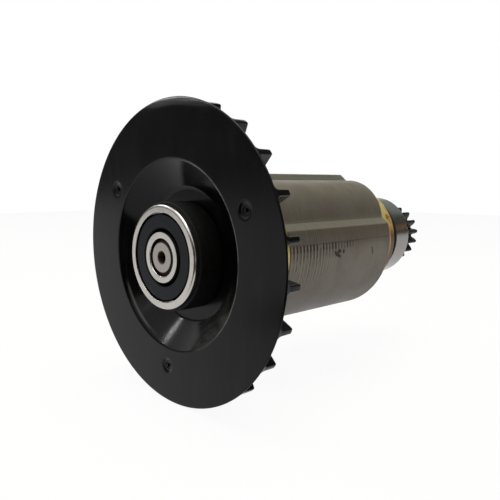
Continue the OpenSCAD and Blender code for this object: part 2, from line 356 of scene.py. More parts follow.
@dataclass(frozen=True)
class MouldedPlastic(Finish):
    """Black glass-filled plastic with a satin skin and faint flow marks."""

    name: str = "moulded_fan_plastic"
    slot: str = "fan_plastic"
    colour: Colour = (0.0030, 0.0031, 0.0036)
    # Colour of the painted highlight along the recess's lip
    rubbed: Colour = (0.20, 0.20, 0.195)
    # Colour of the dust and of the painted reflection on the recess's cone
    dust: Colour = (0.040, 0.040, 0.039)
    roughness: float = 0.205
    specular: float = 0.165
    lip_highlight_ring: Band = (19.96, 20.28, 20.28, 20.60)
    lip_highlight_arc: Band = (-74.0, -50.0, 60.0, 84.0)
    lower_lip_highlight_ring: Band = (19.15, 19.45, 19.55, 19.85)
    lower_lip_highlight_arc: Band = (-160.0, -148.0, -120.0, -106.0)
    lip_shadow_ring: Band = (19.85, 20.1, 20.35, 20.6)
    lip_shadow_arc: Band = (-172.0, -160.0, -104.0, -92.0)
    cone_ring: Band = (14.0, 14.5, 20.1, 20.6)
    dust_and_sheen_arc: Band = (-84.0, -64.0, -44.0, -8.0)
    gate_arc: Band = (58.0, 84.0, 92.0, 112.0)
    gate_start: float = 30.1
    gate_width: float = 2.3
    gate_fall: float = 0.65

    def paint(self, tree: ShaderTree) -> None:
        """Mottled skin whose gloss follows the way the plastic flowed.

        Args:
            tree: The material's empty tree.
        """
        place = tree.place()
        radius, along, angle = tree.cylinder()
        x, _, z = tree.parts(place)
        cloud = tree.noise(place, 0.11, 3.0)
        grain = tree.noise(place, 7.0, 2.0)
        flow = tree.noise(tree.join(radius * 0.12, along * 0.2, angle * 0.09), 1.0, 3.0)
        streak = tree.noise(tree.join(x * 0.55, along, z * 0.07), 1.0, 4.0, 0.6)
        around = tree.noise(tree.join(angle * 0.05, radius * 0.4, 0.0), 1.0, 3.0, 0.6)
        dim, pale = tone(self.colour, 0.75), tone(self.colour, 1.35)
        colour = tree.blend(cloud.rise(0.35, 0.68), dim, pale)
        colour = tree.blend(streak.rise(0.48, 0.75) * 0.6, colour, tone(self.colour, 3.0))
        # Painted highlight: the recess's lip is painted lighter, but for its upper left, and a
        # fainter painted highlight lies just inside it at its lower left
        lip = radius.band(*self.lip_highlight_ring) * angle.band(*self.lip_highlight_arc)
        lower_lip_highlight = radius.band(*self.lower_lip_highlight_ring) * angle.band(*self.lower_lip_highlight_arc) * 0.42
        colour = tree.blend(lip.at_least(lower_lip_highlight) * around.rise(0.26, 0.56), colour, self.rubbed)
        # Dust and painted reflection: the lower right of the recess's cone is paler, in streaks
        cone = radius.band(*self.cone_ring)
        dust_and_sheen = cone * angle.band(*self.dust_and_sheen_arc) * streak.rise(0.20, 0.62)
        colour = tree.blend(dust_and_sheen, colour, self.dust)
        gloss = (cloud - 0.5) * 0.10 + (flow - 0.5) * 0.10 + (grain - 0.5) * 0.05 - cone * 0.07
        # By the gate, at the top, the face falls away toward the rim
        fall = ((radius - self.gate_start) / self.gate_width).at_least(0.0).at_most(1.0)
        slump = tree.bump(1.0 - fall * fall * angle.band(*self.gate_arc), self.gate_fall)
        # The surface mixes in painted shadow: unlit black along the recess's lip at its lower left
        tree.surface({
            "Base Color": colour, "Roughness": gloss + self.roughness,
            "Specular IOR Level": self.specular,
            "Normal": tree.bump(grain, 0.003, tree.bump(flow, 0.006, slump)),
        }, radius.band(*self.lip_shadow_ring) * angle.band(*self.lip_shadow_arc) * 0.45)


@dataclass(frozen=True)
class MouldedRubber(Finish):
    """Matt rubber with a fine skin and dusty patches."""

    name: str = "sleeve_rubber_black"
    slot: str = "sleeve_rubber"
    colour: Colour = (0.004, 0.004, 0.004)
    dust: Colour = (0.011, 0.011, 0.010)
    roughness: float = 0.60
    specular: float = 0.18
    rings: float = 0.0
    inner_edge: float = 0.0
    outer_edge: float = 0.0

    def paint(self, tree: ShaderTree) -> None:
        """Dust over a fine pebbled skin, with moulding rings and painted shade at the inner and
        outer edges where asked for.

        Args:
            tree: The material's empty tree.
        """
        place = tree.place()
        pebble = tree.noise(place, 9.0, 3.0)
        dust = tree.noise(place, 0.7, 4.0, 0.6)
        relief = tree.bump(pebble, 0.006)
        edges = None
        if self.rings:
            radius = tree.cylinder()[0]
            # Painted shade: the skin's inner and outer edges turn unlit black
            inner = radius.rise(self.inner_edge + 0.16, self.inner_edge)
            edges = inner.at_least(radius.rise(self.outer_edge - 0.10, self.outer_edge))
            ring = tree.noise(tree.join(radius * 2.4, 0.0, 0.0), 1.0, 2.0)
            relief = tree.bump(ring, self.rings, relief)
        tree.surface({
            "Base Color": tree.blend(dust.rise(0.45, 0.75) * 0.8, self.colour, self.dust),
            "Roughness": (pebble - 0.5) * 0.12 + (dust - 0.5) * 0.1 + self.roughness,
            "Specular IOR Level": self.specular, "Normal": relief,
        }, edges)


@dataclass(frozen=True)
class TurnedMetal(Finish):
    """Bare metal with the fine rings that a lathe or a grinding wheel leaves."""

    name: str = "polished_bearing_steel"
    slot: str = "bearing_steel"
    colour: Colour = (0.52, 0.495, 0.465)
    stain: Colour = (0.36, 0.33, 0.29)
    stain_share: float = 0.35
    roughness: float = 0.24
    ring_scale: float = 7.0
    ring_depth: float = 0.0006
    # Colour of the outer face, a darker painted shade
    rim: Colour = (0.27, 0.265, 0.255)
    rim_radius: float | None = None
    # Painted shade in a corner and in the centre hole, and how far it reaches
    painted_shade: Colour | None = None
    shade_radius: float = 0.0
    shade_length: float = 0.0
    start: float = 0.0
    hole_radius: float = 1.25
    hole_ends: Point = (6.0, 8.0)

    def paint(self, tree: ShaderTree) -> None:
        """Rings by radius and by length, a soft stain, and painted shade on the outer face, in a
        corner and in the centre hole.

        Args:
            tree: The material's empty tree.
        """
        place = tree.place()
        radius, along, angle = tree.cylinder()
        scale = self.ring_scale
        rings = tree.noise(tree.join(radius * scale, along * scale, angle * 0.01), 1.0, 3.0, 0.6)
        stain = tree.noise(place, 0.35, 4.0, 0.6)
        fine = tree.noise(place, 12.0, 2.0)
        colour = tree.blend(stain.rise(0.42, 0.72) * self.stain_share, self.colour, self.stain)
        colour = tree.blend((rings - 0.5) * 0.3 + 0.1, colour, tone(self.colour, 0.72))
        rough = (rings - 0.5) * 0.10 + (stain - 0.5) * 0.10 + self.roughness
        metal: Wire | float = 1.0
        unlit = None
        # Painted shade: the outer face, beyond rim_radius, is darker
        if self.rim_radius is not None:
            rim_shade = radius.rise(self.rim_radius, self.rim_radius + 0.04)
            colour = tree.blend(rim_shade, colour, self.rim)
        if self.painted_shade is not None:
            # Painted shade from the piece's first face, at start, into its corner, and in the
            # shaft's centre hole
            near = (along - self.start).band(-1.0, -0.5, self.shade_length, self.shade_length + 0.3)
            corner = near * radius.rise(self.shade_radius, self.shade_radius + 0.12)
            hole = radius.rise(self.hole_radius + 0.24, self.hole_radius + 0.12)
            painted_dark = corner.at_least(hole * along.rise(self.hole_ends[1], self.hole_ends[0]))
            colour = tree.blend(painted_dark * 0.94, colour, self.painted_shade)
            rough = rough + painted_dark * 0.3
            metal = 1.0 - painted_dark * 0.9
            # The corner's painted shade is also partly unlit black
            unlit = corner * 0.6
        tree.surface({
            "Base Color": colour, "Metallic": metal, "Roughness": rough,
            "Normal": tree.bump(rings, self.ring_depth, tree.bump(fine, 0.0004)),
        }, unlit)


@dataclass(frozen=True)
class TurnedBrass(Finish):
    """Turned brass, with painted brown shade on one side of the ring, a painted reflection on its
    underside and a painted shadow at its rear edge.
    """

    name: str = "turned_ring_brass"
    slot: str = "balance_brass"
    colour: Colour = (0.84, 0.65, 0.28)
    brown_shade: Colour = (0.66, 0.34, 0.11)
    pale_reflection: Colour = (0.84, 0.62, 0.36)
    bronze: Colour = (0.46, 0.29, 0.085)
    edge_shadow: Colour = (0.040, 0.020, 0.012)
    roughness: float = 0.36
    metallic: float = 0.5
    brown_shade_arc: Band = (-40.0, -26.0, 6.0, 24.0)
    pale_reflection_arc: Band = (-96.0, -70.0, -38.0, -24.0)
    edge_shadow_arc: Band = (-38.0, -26.0, 4.0, 20.0)
    edge_shadow_start: Point = (65.0, 66.1)

    def paint(self, tree: ShaderTree) -> None:
        """Lathe rings, painted brown shade round +X, a paler painted reflection underneath and a
        painted shadow along the rear edge.

        Args:
            tree: The material's empty tree.
        """
        radius, along, angle = tree.cylinder()
        rings = tree.noise(tree.join(radius * 3.2, along * 3.2, angle * 0.01), 1.0, 3.0, 0.6)
        patch = tree.noise(tree.place(), 0.45, 4.0, 0.6)
        colour = tree.blend((rings - 0.5) * 0.3 + 0.1, self.colour, tone(self.colour, 0.72))
        blotch = patch.rise(0.47, 0.63) * angle.rise(-6.0, 10.0)
        colour = tree.blend(blotch * 0.55, colour, self.bronze)
        # Painted shade: brown round +X
        colour = tree.blend(angle.band(*self.brown_shade_arc) * (patch * 0.5 + 0.45), colour, self.brown_shade)
        # Painted reflection: paler underneath
        colour = tree.blend(angle.band(*self.pale_reflection_arc) * 0.85, colour, self.pale_reflection)
        # Painted shadow along the rear edge, next to the bearing
        edge = along.rise(*self.edge_shadow_start) * angle.band(*self.edge_shadow_arc)
        colour = tree.blend(edge * 0.9, colour, self.edge_shadow)
        tree.surface({
            "Base Color": colour, "Metallic": self.metallic,
            "Roughness": (rings - 0.5) * 0.10 + (patch - 0.5) * 0.10 + self.roughness,
            "Normal": tree.bump(rings, 0.003),
        })


@dataclass(frozen=True)
class LaminationEdges(Finish):
    """Edges of stamped steel sheets under a thin coat of varnish."""

    name: str = "varnished_lamination_edges"
    slot: str = "laminations"
    colour: Colour = (0.184, 0.163, 0.132)
    dark: Colour = (0.122, 0.094, 0.074)
    burr: Colour = (0.022, 0.012, 0.006)
    # Colours of the painted shade on the crown and of the painted light on the strip
    crown_shade: Colour = (0.085, 0.085, 0.066)
    strip_light: Colour = (0.235, 0.230, 0.180)
    roughness: float = 0.46
    metallic: float = 0.45
    radius: float = 17.4
    first: float = 20.5
    pitch: float = 0.75
    burr_start: float = 27.33
    burr_pitch: float = 1.115
    strip_light_arc: Band = (17.5, 18.5, 25.0, 27.0)
    lower_arc: Band = (-32.0, -20.0, -6.0, -3.0)
    glint_arc: Band = (-34.0, -22.0, 5.0, 8.0)
    smudges: tuple[tuple[float, ...], ...] = (
        (37.05, -2.75, 1.70, 0.50, -30.0), (37.60, -0.30, 0.72, 0.48, 0.0),
        (39.35, -0.75, 0.42, 0.50, 0.0),
    )
    nick: tuple[float, ...] = (51.2, -3.2, 0.42, 1.20, 18.0)

    def spot(self, along: Wire, angle: Wire, mark: Sequence[float]) -> Wire:
        """An oval mark on the round surface.

        Args:
            along: Place along the axis.
            angle: Elevation round the axis, in degrees.
            mark: Its middle (along, elevation), two half-lengths and its turn in degrees.

        Returns:
            Distance from the middle, 1 at the oval's edge.
        """
        middle, elevation, long_half, short_half, turn = mark
        u = along - middle
        v = (angle - elevation) * math.radians(self.radius)
        c, s = math.cos(math.radians(turn)), math.sin(math.radians(turn))
        first = (u * c + v * s) / long_half
        second = (v * c - u * s) / short_half
        return (first * first + second * second).root()

    def burrs(self, tree: ShaderTree, along: Wire, angle: Wire) -> tuple[Wire, Wire, Wire]:
        """Marks of the packets of sheets, which show where the varnish is thin.

        Args:
            tree: The tree that they go into.
            along: Place along the axis.
            angle: Elevation round the axis, in degrees.

        Returns:
            Masks of the short burrs below the seam, of the fainter lines that
            run down from them, and of the painted glints between those.
        """
        packet = (along - self.burr_start) / self.burr_pitch + 0.5
        number = packet.floor()
        across = abs(packet.fraction() - 0.5) * 2.0
        line, gap = across.rise(0.66, 0.36), across.rise(0.52, 0.86)
        wander = tree.noise(tree.join(number * 2.9, angle * 0.27, 0.0), 1.0, 3.0, 0.6)
        top, foot = angle + wander * 1.6, angle + wander * 3.0
        burrs = line * top.rise(8.0, 7.1) * foot.rise(2.2, 4.2) * along.rise(48.0, 38.0)
        burrs = burrs * tree.chance(number + 0.37).rise(-0.15, 0.55)
        tail = angle.rise(5.0, 3.0) * (angle + wander * 6.0).rise(-3.5, 2.0)
        tail = tail * along.rise(42.0, 30.0)
        lower = wander.rise(0.42, 0.62) * angle.band(*self.lower_arc) * along.rise(37.0, 27.0)
        painted_glint = wander.rise(0.36, 0.62) * angle.band(*self.glint_arc) * along.rise(39.0, 29.0)
        return burrs, line * (tail * 0.55 + lower * 0.42), gap * painted_glint

    def paint(self, tree: ShaderTree) -> None:
        """Tone sheet by sheet, dark joints, burrs below the seam and a smudge, with painted light:
        a lighter strip, painted shade below it, toward the lower side and on the crown, and painted
        glints between the burr lines.

        Args:
            tree: The material's empty tree.
        """
        place = tree.place()
        radius, along, angle = tree.cylinder()
        sheet = (along - self.first) / self.pitch
        order, inside = sheet.floor(), sheet.fraction()
        sheet_tone = tree.chance(order)
        joint = inside.at_most(1.0 - inside).rise(0.20, 0.03)
        varnish = tree.noise(place, 0.16, 4.0, 0.55)
        streak = tree.noise(tree.join(order * 3.7, angle * 0.24, 0.0), 1.0, 3.0, 0.6)
        speck = tree.noise(tree.join(along * 2.2, angle * 0.48, radius), 1.0, 3.0, 0.65)
        joints = joint * streak.rise(0.30, 0.60) * along.rise(48.0, 24.0) * 0.30
        burrs, lines, painted_glint = self.burrs(tree, along, angle)
        shade_below_strip = (angle + along * 0.095).rise(8.3, 9.3) * angle.rise(18.5, 17.5)
        worn = speck.rise(0.45, 0.75) * angle.rise(14.0, 4.0)
        # A smudge of old varnish and a small nick
        ragged = (tree.noise(place, 1.6, 3.0, 0.6) - 0.5) * 1.3
        spots = [(self.spot(along, angle, mark) + ragged).rise(1.15, 0.70) for mark in self.smudges]
        smudge = spots[0].at_least(spots[1]).at_least(spots[2])
        nick = (self.spot(along, angle, self.nick) + ragged * 0.5).rise(1.25, 0.60)

        colour: Wire | Colour = self.colour
        for share, coat in (
            (varnish.rise(0.34, 0.70) * 0.45, self.dark),
            (sheet_tone * 0.08, tone(self.dark, 0.9)),
            (worn * 0.25, tone(self.colour, 1.30)),
            # Painted shade just below the strip
            (shade_below_strip * 0.30, tone(self.dark, 0.72)),
            # Painted glints between the burr lines
            (painted_glint * 0.50, tone(self.colour, 1.75)),
            # Painted light on the strip
            (angle.band(*self.strip_light_arc) * 0.45, self.strip_light),
            ((joints + lines).at_most(1.0), self.burr),
            (burrs * 0.97, self.burr),
            # Painted shade, darker toward the lower side
            (angle.rise(2.0, -46.0) * 0.74, tone(self.dark, 0.60)),
            # Painted shade on the crown at the top
            (angle.rise(52.0, 78.0) * 0.40, self.crown_shade),
            ((smudge * 0.93).at_least(nick * 0.72), self.burr),
        ):
            colour = tree.blend(share, colour, coat)
        rough = (varnish - 0.5) * 0.14 + (speck - 0.5) * 0.12 + smudge * 0.12 + self.roughness
        height = (1.0 - joint) * 0.6 + sheet_tone * 0.4
        tree.surface({
            "Base Color": colour, "Metallic": self.metallic, "Roughness": rough,
            "Normal": tree.bump(speck, 0.006, tree.bump(height, 0.0015)),
        })


@dataclass(frozen=True)
class PressedPlate(Finish):
    """Thin brass sheet, punched to shape and a little tarnished."""

    name: str = "pressed_end_plate"
    slot: str = "end_plate"
    colour: Colour = (0.62, 0.47, 0.17)
    tarnish: Colour = (0.30, 0.24, 0.10)
    roughness: float = 0.34

    def paint(self, tree: ShaderTree) -> None:
        """Rolled grain across the plate and tarnish toward its edge.

        Args:
            tree: The material's empty tree.
        """
        place = tree.place()
        x, y, z = tree.parts(place)
        rolled = tree.noise(tree.join(x * 0.4, y, z * 6.0), 1.0, 3.0)
        patch = tree.noise(place, 0.4, 4.0, 0.6)
        tarnish = patch.rise(0.4, 0.7) * 0.6 + tree.cylinder()[0].rise(15.0, 17.3) * 0.15
        tree.surface({
            "Base Color": tree.blend(tarnish, self.colour, self.tarnish), "Metallic": 1.0,
            "Roughness": (patch - 0.5) * 0.18 + (rolled - 0.5) * 0.08 + self.roughness,
            "Normal": tree.bump(rolled, 0.0015),
        })


@dataclass(frozen=True)
class PlatedMagnet(Finish):
    """Nickel-plated sintered magnet."""

    name: str = "plated_magnet"
    slot: str = "magnet"
    colour: Colour = (0.42, 0.42, 0.44)
    roughness: float = 0.3

    def paint(self, tree: ShaderTree) -> None:
        """Orange-peel plating with dull patches.

        Args:
            tree: The material's empty tree.
        """
        place = tree.place()
        peel = tree.noise(place, 2.2, 3.0)
        patch = tree.noise(place, 0.3, 3.0)
        colour = tree.blend(patch.rise(0.4, 0.7) * 0.5, self.colour, tone(self.colour, 0.6))
        tree.surface({
            "Base Color": colour, "Metallic": 1.0,
            "Roughness": (patch - 0.5) * 0.2 + self.roughness, "Normal": tree.bump(peel, 0.004),
        })


@dataclass(frozen=True)
class OxideBlack(Finish):
    """Blackened steel, rubbed brighter on its high edges."""

    name: str = "black_oxide_steel"
    slot: str = "black_oxide"
    colour: Colour = (0.010, 0.012, 0.014)
    rubbed: Colour = (0.036, 0.038, 0.037)
    roughness: float = 0.50
    metallic: float = 0.3
    specular: float = 0.09
    tip_radius: float = 8.1

    def paint(self, tree: ShaderTree) -> None:
        """Oxide with cutter marks along the teeth and rubbed tips.

        Args:
            tree: The material's empty tree.
        """
        place = tree.place()
        x, y, z = tree.parts(place)
        marks = tree.noise(tree.join(x * 5.0, y * 0.4, z * 5.0), 1.0, 3.0)
        patch = tree.noise(place, 0.8, 4.0, 0.6)
        tips = tree.cylinder()[0].rise(self.tip_radius - 0.35, self.tip_radius)
        wear = tips * patch.rise(0.35, 0.65) * 0.6 + patch.rise(0.55, 0.8) * 0.25
        tree.surface({
            "Base Color": tree.blend(wear, self.colour, self.rubbed), "Metallic": self.metallic,
            "Roughness": (patch - 0.5) * 0.2 + self.roughness,
            "Specular IOR Level": self.specular, "Normal": tree.bump(marks, 0.003),
        })


@dataclass(frozen=True)
class CagePolymer(Finish):
    """Natural glass-filled nylon of a bearing's cage."""

    name: str = "cage_polymer"
    slot: str = "cage_plastic"
    colour: Colour = (0.34, 0.22, 0.10)
    roughness: float = 0.5

    def paint(self, tree: ShaderTree) -> None:
        """Cloudy polymer with short fibres in its skin.

        Args:
            tree: The material's empty tree.
        """
        place = tree.place()
        cloud = tree.noise(place, 0.5, 3.0)
        fibre = tree.noise(place, 5.0, 3.0)
        colour = tree.blend(cloud.rise(0.35, 0.7) * 0.5, self.colour, tone(self.colour, 0.7))
        tree.surface({
            "Base Color": colour, "Roughness": (fibre - 0.5) * 0.15 + self.roughness,
            "Normal": tree.bump(fibre, 0.005),
        })


FAN_PLASTIC = MouldedPlastic()
SLEEVE_RUBBER = MouldedRubber()
SEAL_RUBBER = MouldedRubber(
    name="seal_rubber_grey", slot="seal_rubber", colour=(0.0040, 0.0050, 0.0085),
    dust=(0.007, 0.0085, 0.013), roughness=0.50, specular=0.20,
    rings=0.004, inner_edge=5.95, outer_edge=8.95,
)
# Painted shade on the outer ring's outer face
BEARING_STEEL = TurnedMetal(rim_radius=10.93)
# Painted shade on the outer face and at the front corner next to the balance ring
REAR_STEEL = TurnedMetal(
    name="polished_rear_ring_steel", rim=(0.255, 0.248, 0.238), rim_radius=10.6,
    painted_shade=(0.050, 0.026, 0.016), shade_radius=9.9, shade_length=0.35, start=72.7,
)
# Painted shade on the inner ring's land, under the seal's lip
INNER_STEEL = TurnedMetal(
    name="polished_inner_ring_steel",
    painted_shade=(0.020, 0.014, 0.010), shade_radius=5.24, shade_length=1.2,
)
BALL_STEEL = TurnedMetal(
    name="ball_steel", stain_share=0.05, roughness=0.08, ring_depth=0.0001,
)
# Painted shade at the shaft's front chamfer and in its centre hole
GROUND_STEEL = TurnedMetal(
    name="ground_shaft_steel", slot="ground_steel", colour=(0.35, 0.318, 0.292), roughness=0.28,
    ring_scale=4.0, ring_depth=0.0015,
    painted_shade=(0.042, 0.022, 0.012), shade_radius=3.06, shade_length=1.2,
)
RING_BRASS = TurnedBrass()
CORE_STEEL = LaminationEdges()
PLATE_BRASS = PressedPlate()
MAGNET_PLATING = PlatedMagnet()
GEAR_OXIDE = OxideBlack()
CAGE_POLYMER = CagePolymer()


# --- Mesh tools -------------------------------------------------------------

def span(node: str) -> Point:
    """Where a CAD node begins and ends along the spin axis, in millimetres."""
    low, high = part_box(node)
    return low.y / MM, high.y / MM


def reach(node: str) -> float:
    """The largest radius of a round CAD node, in millimetres."""
    low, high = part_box(node)
    return max(high.x, high.z, -low.x, -low.z) / MM


def polar(radius: float, degrees: float) -> Vector:
    """A point of a circle, in the plane that the CAD source draws in."""
    angle = math.radians(degrees)
    return Vector((radius * math.cos(angle), radius * math.sin(angle)))


def in_frame(flat: Vector, along: float) -> Vector:
    """A point of the CAD source's plane, laid over into the row frame, in metres."""
    return Vector((flat[0], along, -flat[1])) * MM


def rounded(corners: Sequence[Corner], steps: int) -> list[Point]:
    """Round the corners of a closed outline.

    A guard point stands before and after each round, at GUARD times its radius,
    and keeps the shading of the flats flat.

    Args:
        corners: Each corner as x, y and its radius, 0 for a sharp one.
        steps: Facets of each round.

    Returns:
        The outline's points.
    """
    points: list[Point] = []
    for index, (x, y, radius) in enumerate(corners):
        here = Vector((x, y))
        if radius <= 0:
            points.append((x, y))
            continue
        before = (Vector(corners[index - 1][:2]) - here).normalized()
        after = (Vector(corners[(index + 1) % len(corners)][:2]) - here).normalized()
        half = before.angle(after) / 2
        centre = here + (before + after).normalized() * radius / math.sin(half)
        start = here + before * radius / math.tan(half)
        end = here + after * radius / math.tan(half)
        first, last = start - centre, end - centre
        sweep = math.atan2(first.x * last.y - first.y * last.x, first.dot(last))
        turns = [Matrix.Rotation(sweep * step / steps, 2) for step in range(steps + 1)]
        points.append(tuple(start + before * radius * GUARD))
        points += [tuple(centre + turn @ first) for turn in turns]
        points.append(tuple(end + after * radius * GUARD))
    return points


def arc(centre: Point, radius: float, start: float, end: float, steps: int) -> list[Point]:
    """Points of an arc, from one angle to another in degrees.

    Args:
        centre: The arc's centre.
        radius: Its radius.
        start: Angle of its first point.
        end: Angle of its last point.
        steps: Facets between them.

    Returns:
        The points, with both ends.
    """
    return [
        tuple(Vector(centre) + polar(radius, start + (end - start) * step / steps))
        for step in range(steps + 1)
    ]


def link_object(name: str, data: bpy.types.ID) -> bpy.types.Object:
    """A new object in the scene, at the origin.

    Args:
        name: The object's name.
        data: Its mesh, lamp or camera.

    Returns:
        The object.
    """
    piece = bpy.data.objects.new(name, data)
    bpy.context.scene.collection.objects.link(piece)
    return piece


def new_object(name: str, shell: bmesh.types.BMesh, sharp: float = SHARP) -> bpy.types.Object:
    """Turn a bmesh into an object at the origin, smooth but for its edges.

    Args:
        name: The object's name.
        shell: The mesh, which is freed.
        sharp: Angle in degrees above which an edge stays sharp.

    Returns:
        The new object, linked to the scene.
    """
    bmesh.ops.remove_doubles(shell, verts=shell.verts, dist=1e-7)
    bmesh.ops.recalc_face_normals(shell, faces=shell.faces)
    mesh = bpy.data.meshes.new(name)
    shell.to_mesh(mesh)
    shell.free()
    shade(mesh, sharp)
    return link_object(name, mesh)


def shade(mesh: bpy.types.Mesh, sharp: float = SHARP) -> None:
    """Smooth shading with edges sharper than an angle, in degrees, left sharp.

    Args:
        mesh: The mesh.
        sharp: That angle.
    """
    mesh.polygons.foreach_set("use_smooth", [True] * len(mesh.polygons))
    mesh.set_sharp_from_angle(angle=math.radians(sharp))
    mesh.update()


def circle(radius: float, steps: int) -> list[Point]:
    """Points of a circle about the origin."""
    turns = [math.tau * step / steps for step in range(steps)]
    return [(radius * math.cos(turn), radius * math.sin(turn)) for turn in turns]


def lathe(
    name: str, profile: Sequence[Point], steps: int, centre: Point = (0.0, 0.0),
) -> bpy.types.Object:
    """Turn a closed profile about the spin axis or a line beside it.

    Args:
        name: The object's name.
        profile: Radius and place along the axis of each point, in millimetres;
            a point on the axis has radius 0.
        steps: Facets round the axis.
        centre: The line's x and z in the row frame.

    Returns:
        The new object.
    """
    shell = bmesh.new()
    rows = []
    for radius, along in profile:
        places = [(0.0, 0.0)] if radius < TINY else circle(radius, steps)
        row = [
            shell.verts.new(Vector((centre[0] + x, along, centre[1] + z)) * MM) for x, z in places
        ]
        rows.append(row if len(row) > 1 else row * steps)
    for row, other in zip(rows, rows[1:] + rows[:1]):
        if row[0] is not row[1] or other[0] is not other[1]:
            join_rings(shell, row, other)
    return new_object(name, shell)


def join_rings(
    shell: bmesh.types.BMesh, low: Sequence[bmesh.types.BMVert], high: Sequence[bmesh.types.BMVert],
) -> None:
    """Make the wall between two closed rings of vertices; either may be one point.

    Args:
        shell: The mesh that the wall goes into.
        low: The vertices of one ring.
        high: As many of the other, one vertex repeated where it is a point.
    """
    for index, corner in enumerate(low):
        following = (index + 1) % len(low)
        wall = dict.fromkeys((corner, low[following], high[following], high[index]))
        shell.faces.new(list(wall))


def loft(name: str, sections: Sequence[Sequence[Vector]], sharp: float) -> bpy.types.Object:
    """Skin a row of closed sections and cap both ends.

    Args:
        name: The object's name.
        sections: The points of each section, in metres.
        sharp: Angle in degrees above which an edge stays sharp.

    Returns:
        The new object.
    """
    shell = bmesh.new()
    rows = [[shell.verts.new(point) for point in section] for section in sections]
    for low, high in zip(rows, rows[1:]):
        join_rings(shell, low, high)
    shell.faces.new(rows[0])
    shell.faces.new(rows[-1])
    return new_object(name, shell, sharp)


def prism(
    name: str, outline: Sequence[Point], holes: Sequence[Sequence[Point]],
    start: float, end: float, bevel: float,
) -> bpy.types.Object:
    """A flat plate of the CAD source's plane with chamfered outer edges.

    Args:
        name: The object's name.
        outline: The plate's outer edge, anticlockwise, in millimetres.
        holes: The edges of its holes, clockwise.
        start: Place of its first face along the axis.
        end: Place of its last face.
        bevel: Size of the chamfers of the outer edge.

    Returns:
        The new object.
    """
    shell = bmesh.new()

    def ring(points: Sequence[Point], along: float) -> list[bmesh.types.BMVert]:
        """A ring of vertices at a place along the axis."""
        return [shell.verts.new(in_frame(point, along)) for point in points]

    inner = inset(outline, bevel)
    rings = [
        ring(inner, start), ring(outline, start + bevel),
        ring(outline, end - bevel), ring(inner, end),
    ]
    bores = [(ring(hole, start), ring(hole, end)) for hole in holes]
    for low, high in [*zip(rings, rings[1:]), *bores]:
        join_rings(shell, low, high)
    for loops in zip((rings[0], rings[-1]), *bores):
        flat = [vert for loop in loops for vert in loop]
        outlines = [[Vector((vert.co.x, vert.co.z, 0.0)) / MM for vert in loop] for loop in loops]
        for triangle in tessellate_polygon(outlines):
            shell.faces.new([flat[index] for index in triangle])
    return new_object(name, shell)


def inset(outline: Sequence[Point], depth: float) -> list[Point]:
    """Move each point of an anticlockwise outline inward by a small depth.

    Args:
        outline: The outline's points.
        depth: How far each moves.

    Returns:
        The moved points.
    """
    moved = []
    for index, point in enumerate(outline):
        before = (Vector(point) - Vector(outline[index - 1])).normalized()
        after = (Vector(outline[(index + 1) % len(outline)]) - Vector(point)).normalized()
        normal = Vector((-before.y - after.y, before.x + after.x)).normalized()
        lean = math.sqrt(max(0.0, (1 + before.dot(after)) / 2))
        moved.append(tuple(Vector(point) + normal / max(0.5, lean) * depth))
    return moved


def cut(piece: bpy.types.Object, cutter: bpy.types.Object) -> None:
    """Take one mesh out of another and drop the cutter.

    Args:
        piece: The mesh that is cut.
        cutter: The closed shape that is taken out of it.
    """
    tool = piece.modifiers.new("cut", "BOOLEAN")
    tool.operation = "DIFFERENCE"
    tool.solver = "EXACT"
    tool.object = cutter
    settle(piece)
    bpy.data.objects.remove(cutter, do_unlink=True)
    shade(piece.data)


def settle(piece: bpy.types.Object) -> None:
    """Make what the modifiers give the piece's own mesh, and remove them.

    Args:
        piece: An object with live modifiers.
    """
    view = bpy.context.evaluated_depsgraph_get()
    view.update()
    mesh = bpy.data.meshes.new_from_object(piece.evaluated_get(view))
    piece.modifiers.clear()
    old, piece.data = piece.data, mesh
    mesh.name = piece.name
    bpy.data.meshes.remove(old)


def finish_piece(
    piece: bpy.types.Object, finish: Finish, body: str, *nodes: str,
) -> bpy.types.Object:
    """Dress a piece and tie it to the frame.

    Args:
        piece: The finished object.
        finish: Its finish.
        body: The CAD body that it rides on.
        nodes: CAD nodes that it stands for.

    Returns:
        The same object.
    """
    piece.data.materials.clear()
    piece.data.materials.append(finish.material())
    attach(piece, body)
    if nodes:
        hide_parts(*nodes)
    faces = sum(len(face.vertices) - 2 for face in piece.data.polygons)
    LOG.info("%s: %d triangles, %s, rides on %s", piece.name, faces, finish.name, body)
    return piece


def dress_nodes(finish: Finish, *nodes: str) -> None:
    """Give CAD nodes that stay in view a finish on their own slots.

    Args:
        finish: The finish.
        nodes: The CAD nodes' names.
    """
    for name in nodes:
        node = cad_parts[name]
        if not node.material_slots:
            node.data.materials.append(finish.material())
        for slot in node.material_slots:
            slot.material = finish.material()
        LOG.info("%s: CAD solid kept, %s", name, finish.name)


# --- Repeated pieces by Geometry Nodes --------------------------------------

class Spread(enum.Enum):
    """How the copies of a repeated piece are spread."""

    ROUND = "round the spin axis"
    ALONG = "along the spin axis"


